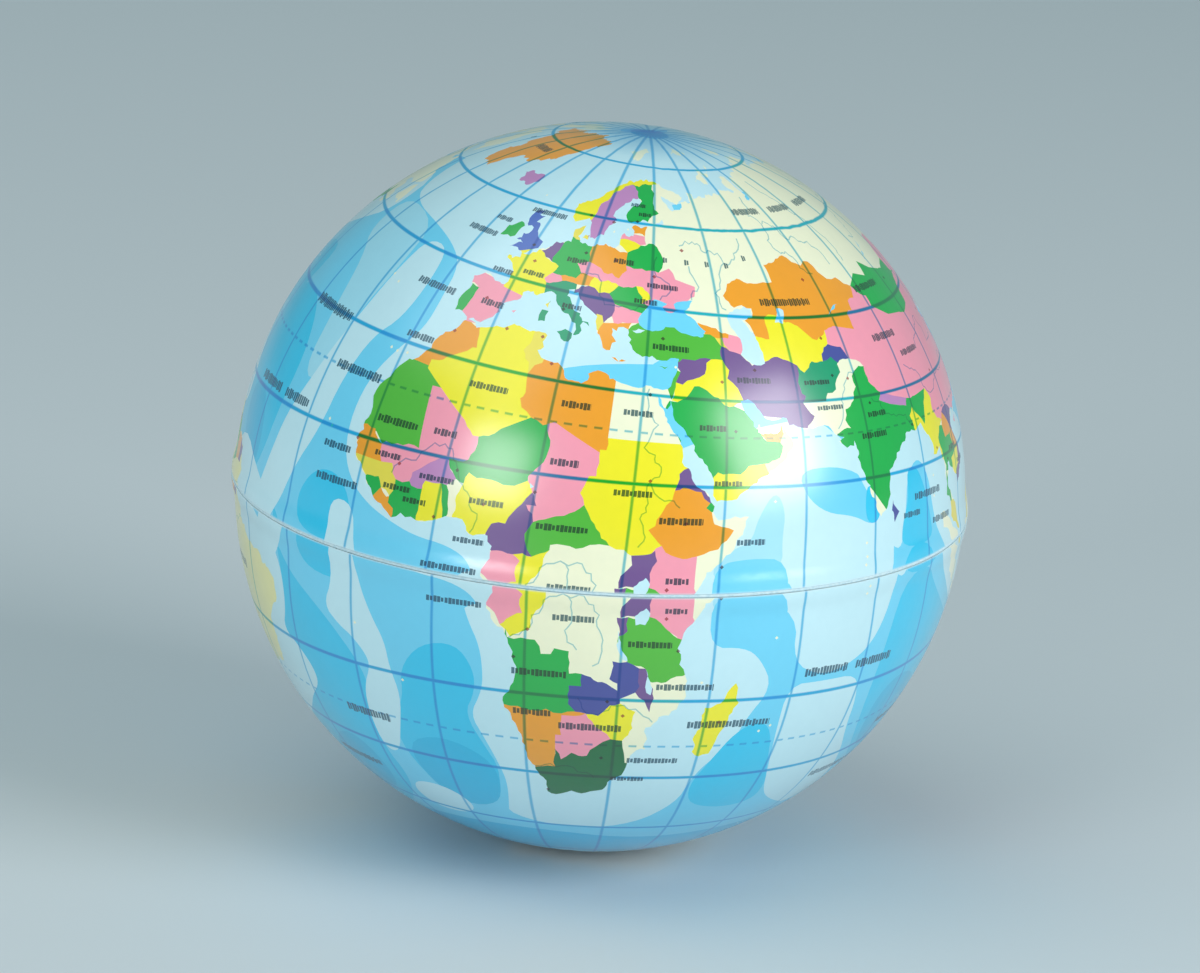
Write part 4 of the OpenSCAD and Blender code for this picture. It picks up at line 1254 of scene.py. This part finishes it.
south_skin = printed_skin("skin_south", -1, SOUTH_LEAN, south_stretch)
south_skin.data.materials.append(print_material)
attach(south_skin, "core")
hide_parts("south_skin")

# --- Meshes of their own -------------------------------------------------------------------------
# Each piece gets a copy of its mesh as its own.
for piece in (foam_core, north_skin, south_skin):
    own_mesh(piece)

# --- Table, light and camera -----------------------------------------------------------------------
# The ball lies on a plain pale table under three soft lamps in a cool, evenly lit room.
DISTANCE = 0.75
right, above, toward = JOINT_VIEW

floor_mesh = bpy.data.meshes.new("table")
floor_z = -BALL_R * MM - 0.0001
FLOOR_HALF = 6
floor_corners = [(x * FLOOR_HALF, y * FLOOR_HALF, floor_z) for x, y in ((-1, -1), (1, -1), (1, 1), (-1, 1))]
floor_mesh.from_pydata(floor_corners, [], [(0, 1, 2, 3)])
table = bpy.data.objects.new("table", floor_mesh)
bpy.context.scene.collection.objects.link(table)
table_material = bpy.data.materials.new("white table")
table_material.use_nodes = True
table_surface = table_material.node_tree.nodes["Principled BSDF"]
table_surface.inputs["Base Color"].default_value = (0.66, 0.70, 0.72, 1)
table_surface.inputs["Roughness"].default_value = 0.6
table.data.materials.append(table_material)

world = bpy.data.worlds.new("room")
world.use_nodes = True
world.node_tree.nodes["Background"].inputs["Color"].default_value = (0.60, 0.92, 1.0, 1)
world.node_tree.nodes["Background"].inputs["Strength"].default_value = 0.30
bpy.context.scene.world = world


def lamp(name, across, up, forward, distance, size, power):
    """A soft square lamp in a direction seen from the camera, turned to the ball."""
    bearing = (right * across + above * up + toward * forward).normalized()
    data = bpy.data.lights.new(name, "AREA")
    data.size = size
    data.energy = power
    light = bpy.data.objects.new(name, data)
    light.location = bearing * distance
    light.rotation_euler = bearing.to_track_quat("Z", "Y").to_euler()
    bpy.context.scene.collection.objects.link(light)


lamp("key lamp", across=0.80, up=0.21, forward=0.562, distance=0.9, size=0.48, power=5.2)
lamp("fill lamp", across=-0.518, up=0.11, forward=0.848, distance=1.0, size=0.34, power=2.7)
lamp("ceiling lamp", across=-0.36, up=0.82, forward=0.44, distance=1.2, size=1.2, power=4.8)

camera_data = bpy.data.cameras.new("camera")
camera_data.lens = 216
camera_data.sensor_width = 36
camera = bpy.data.objects.new("camera", camera_data)
camera.matrix_world = Matrix(
    (
        (right.x, above.x, toward.x, toward.x * DISTANCE),
        (right.y, above.y, toward.y, toward.y * DISTANCE),
        (right.z, above.z, toward.z, toward.z * DISTANCE),
        (0, 0, 0, 1),
    )
)
bpy.context.scene.collection.objects.link(camera)
bpy.context.scene.camera = camera
bpy.context.scene.view_settings.view_transform = "Standard"
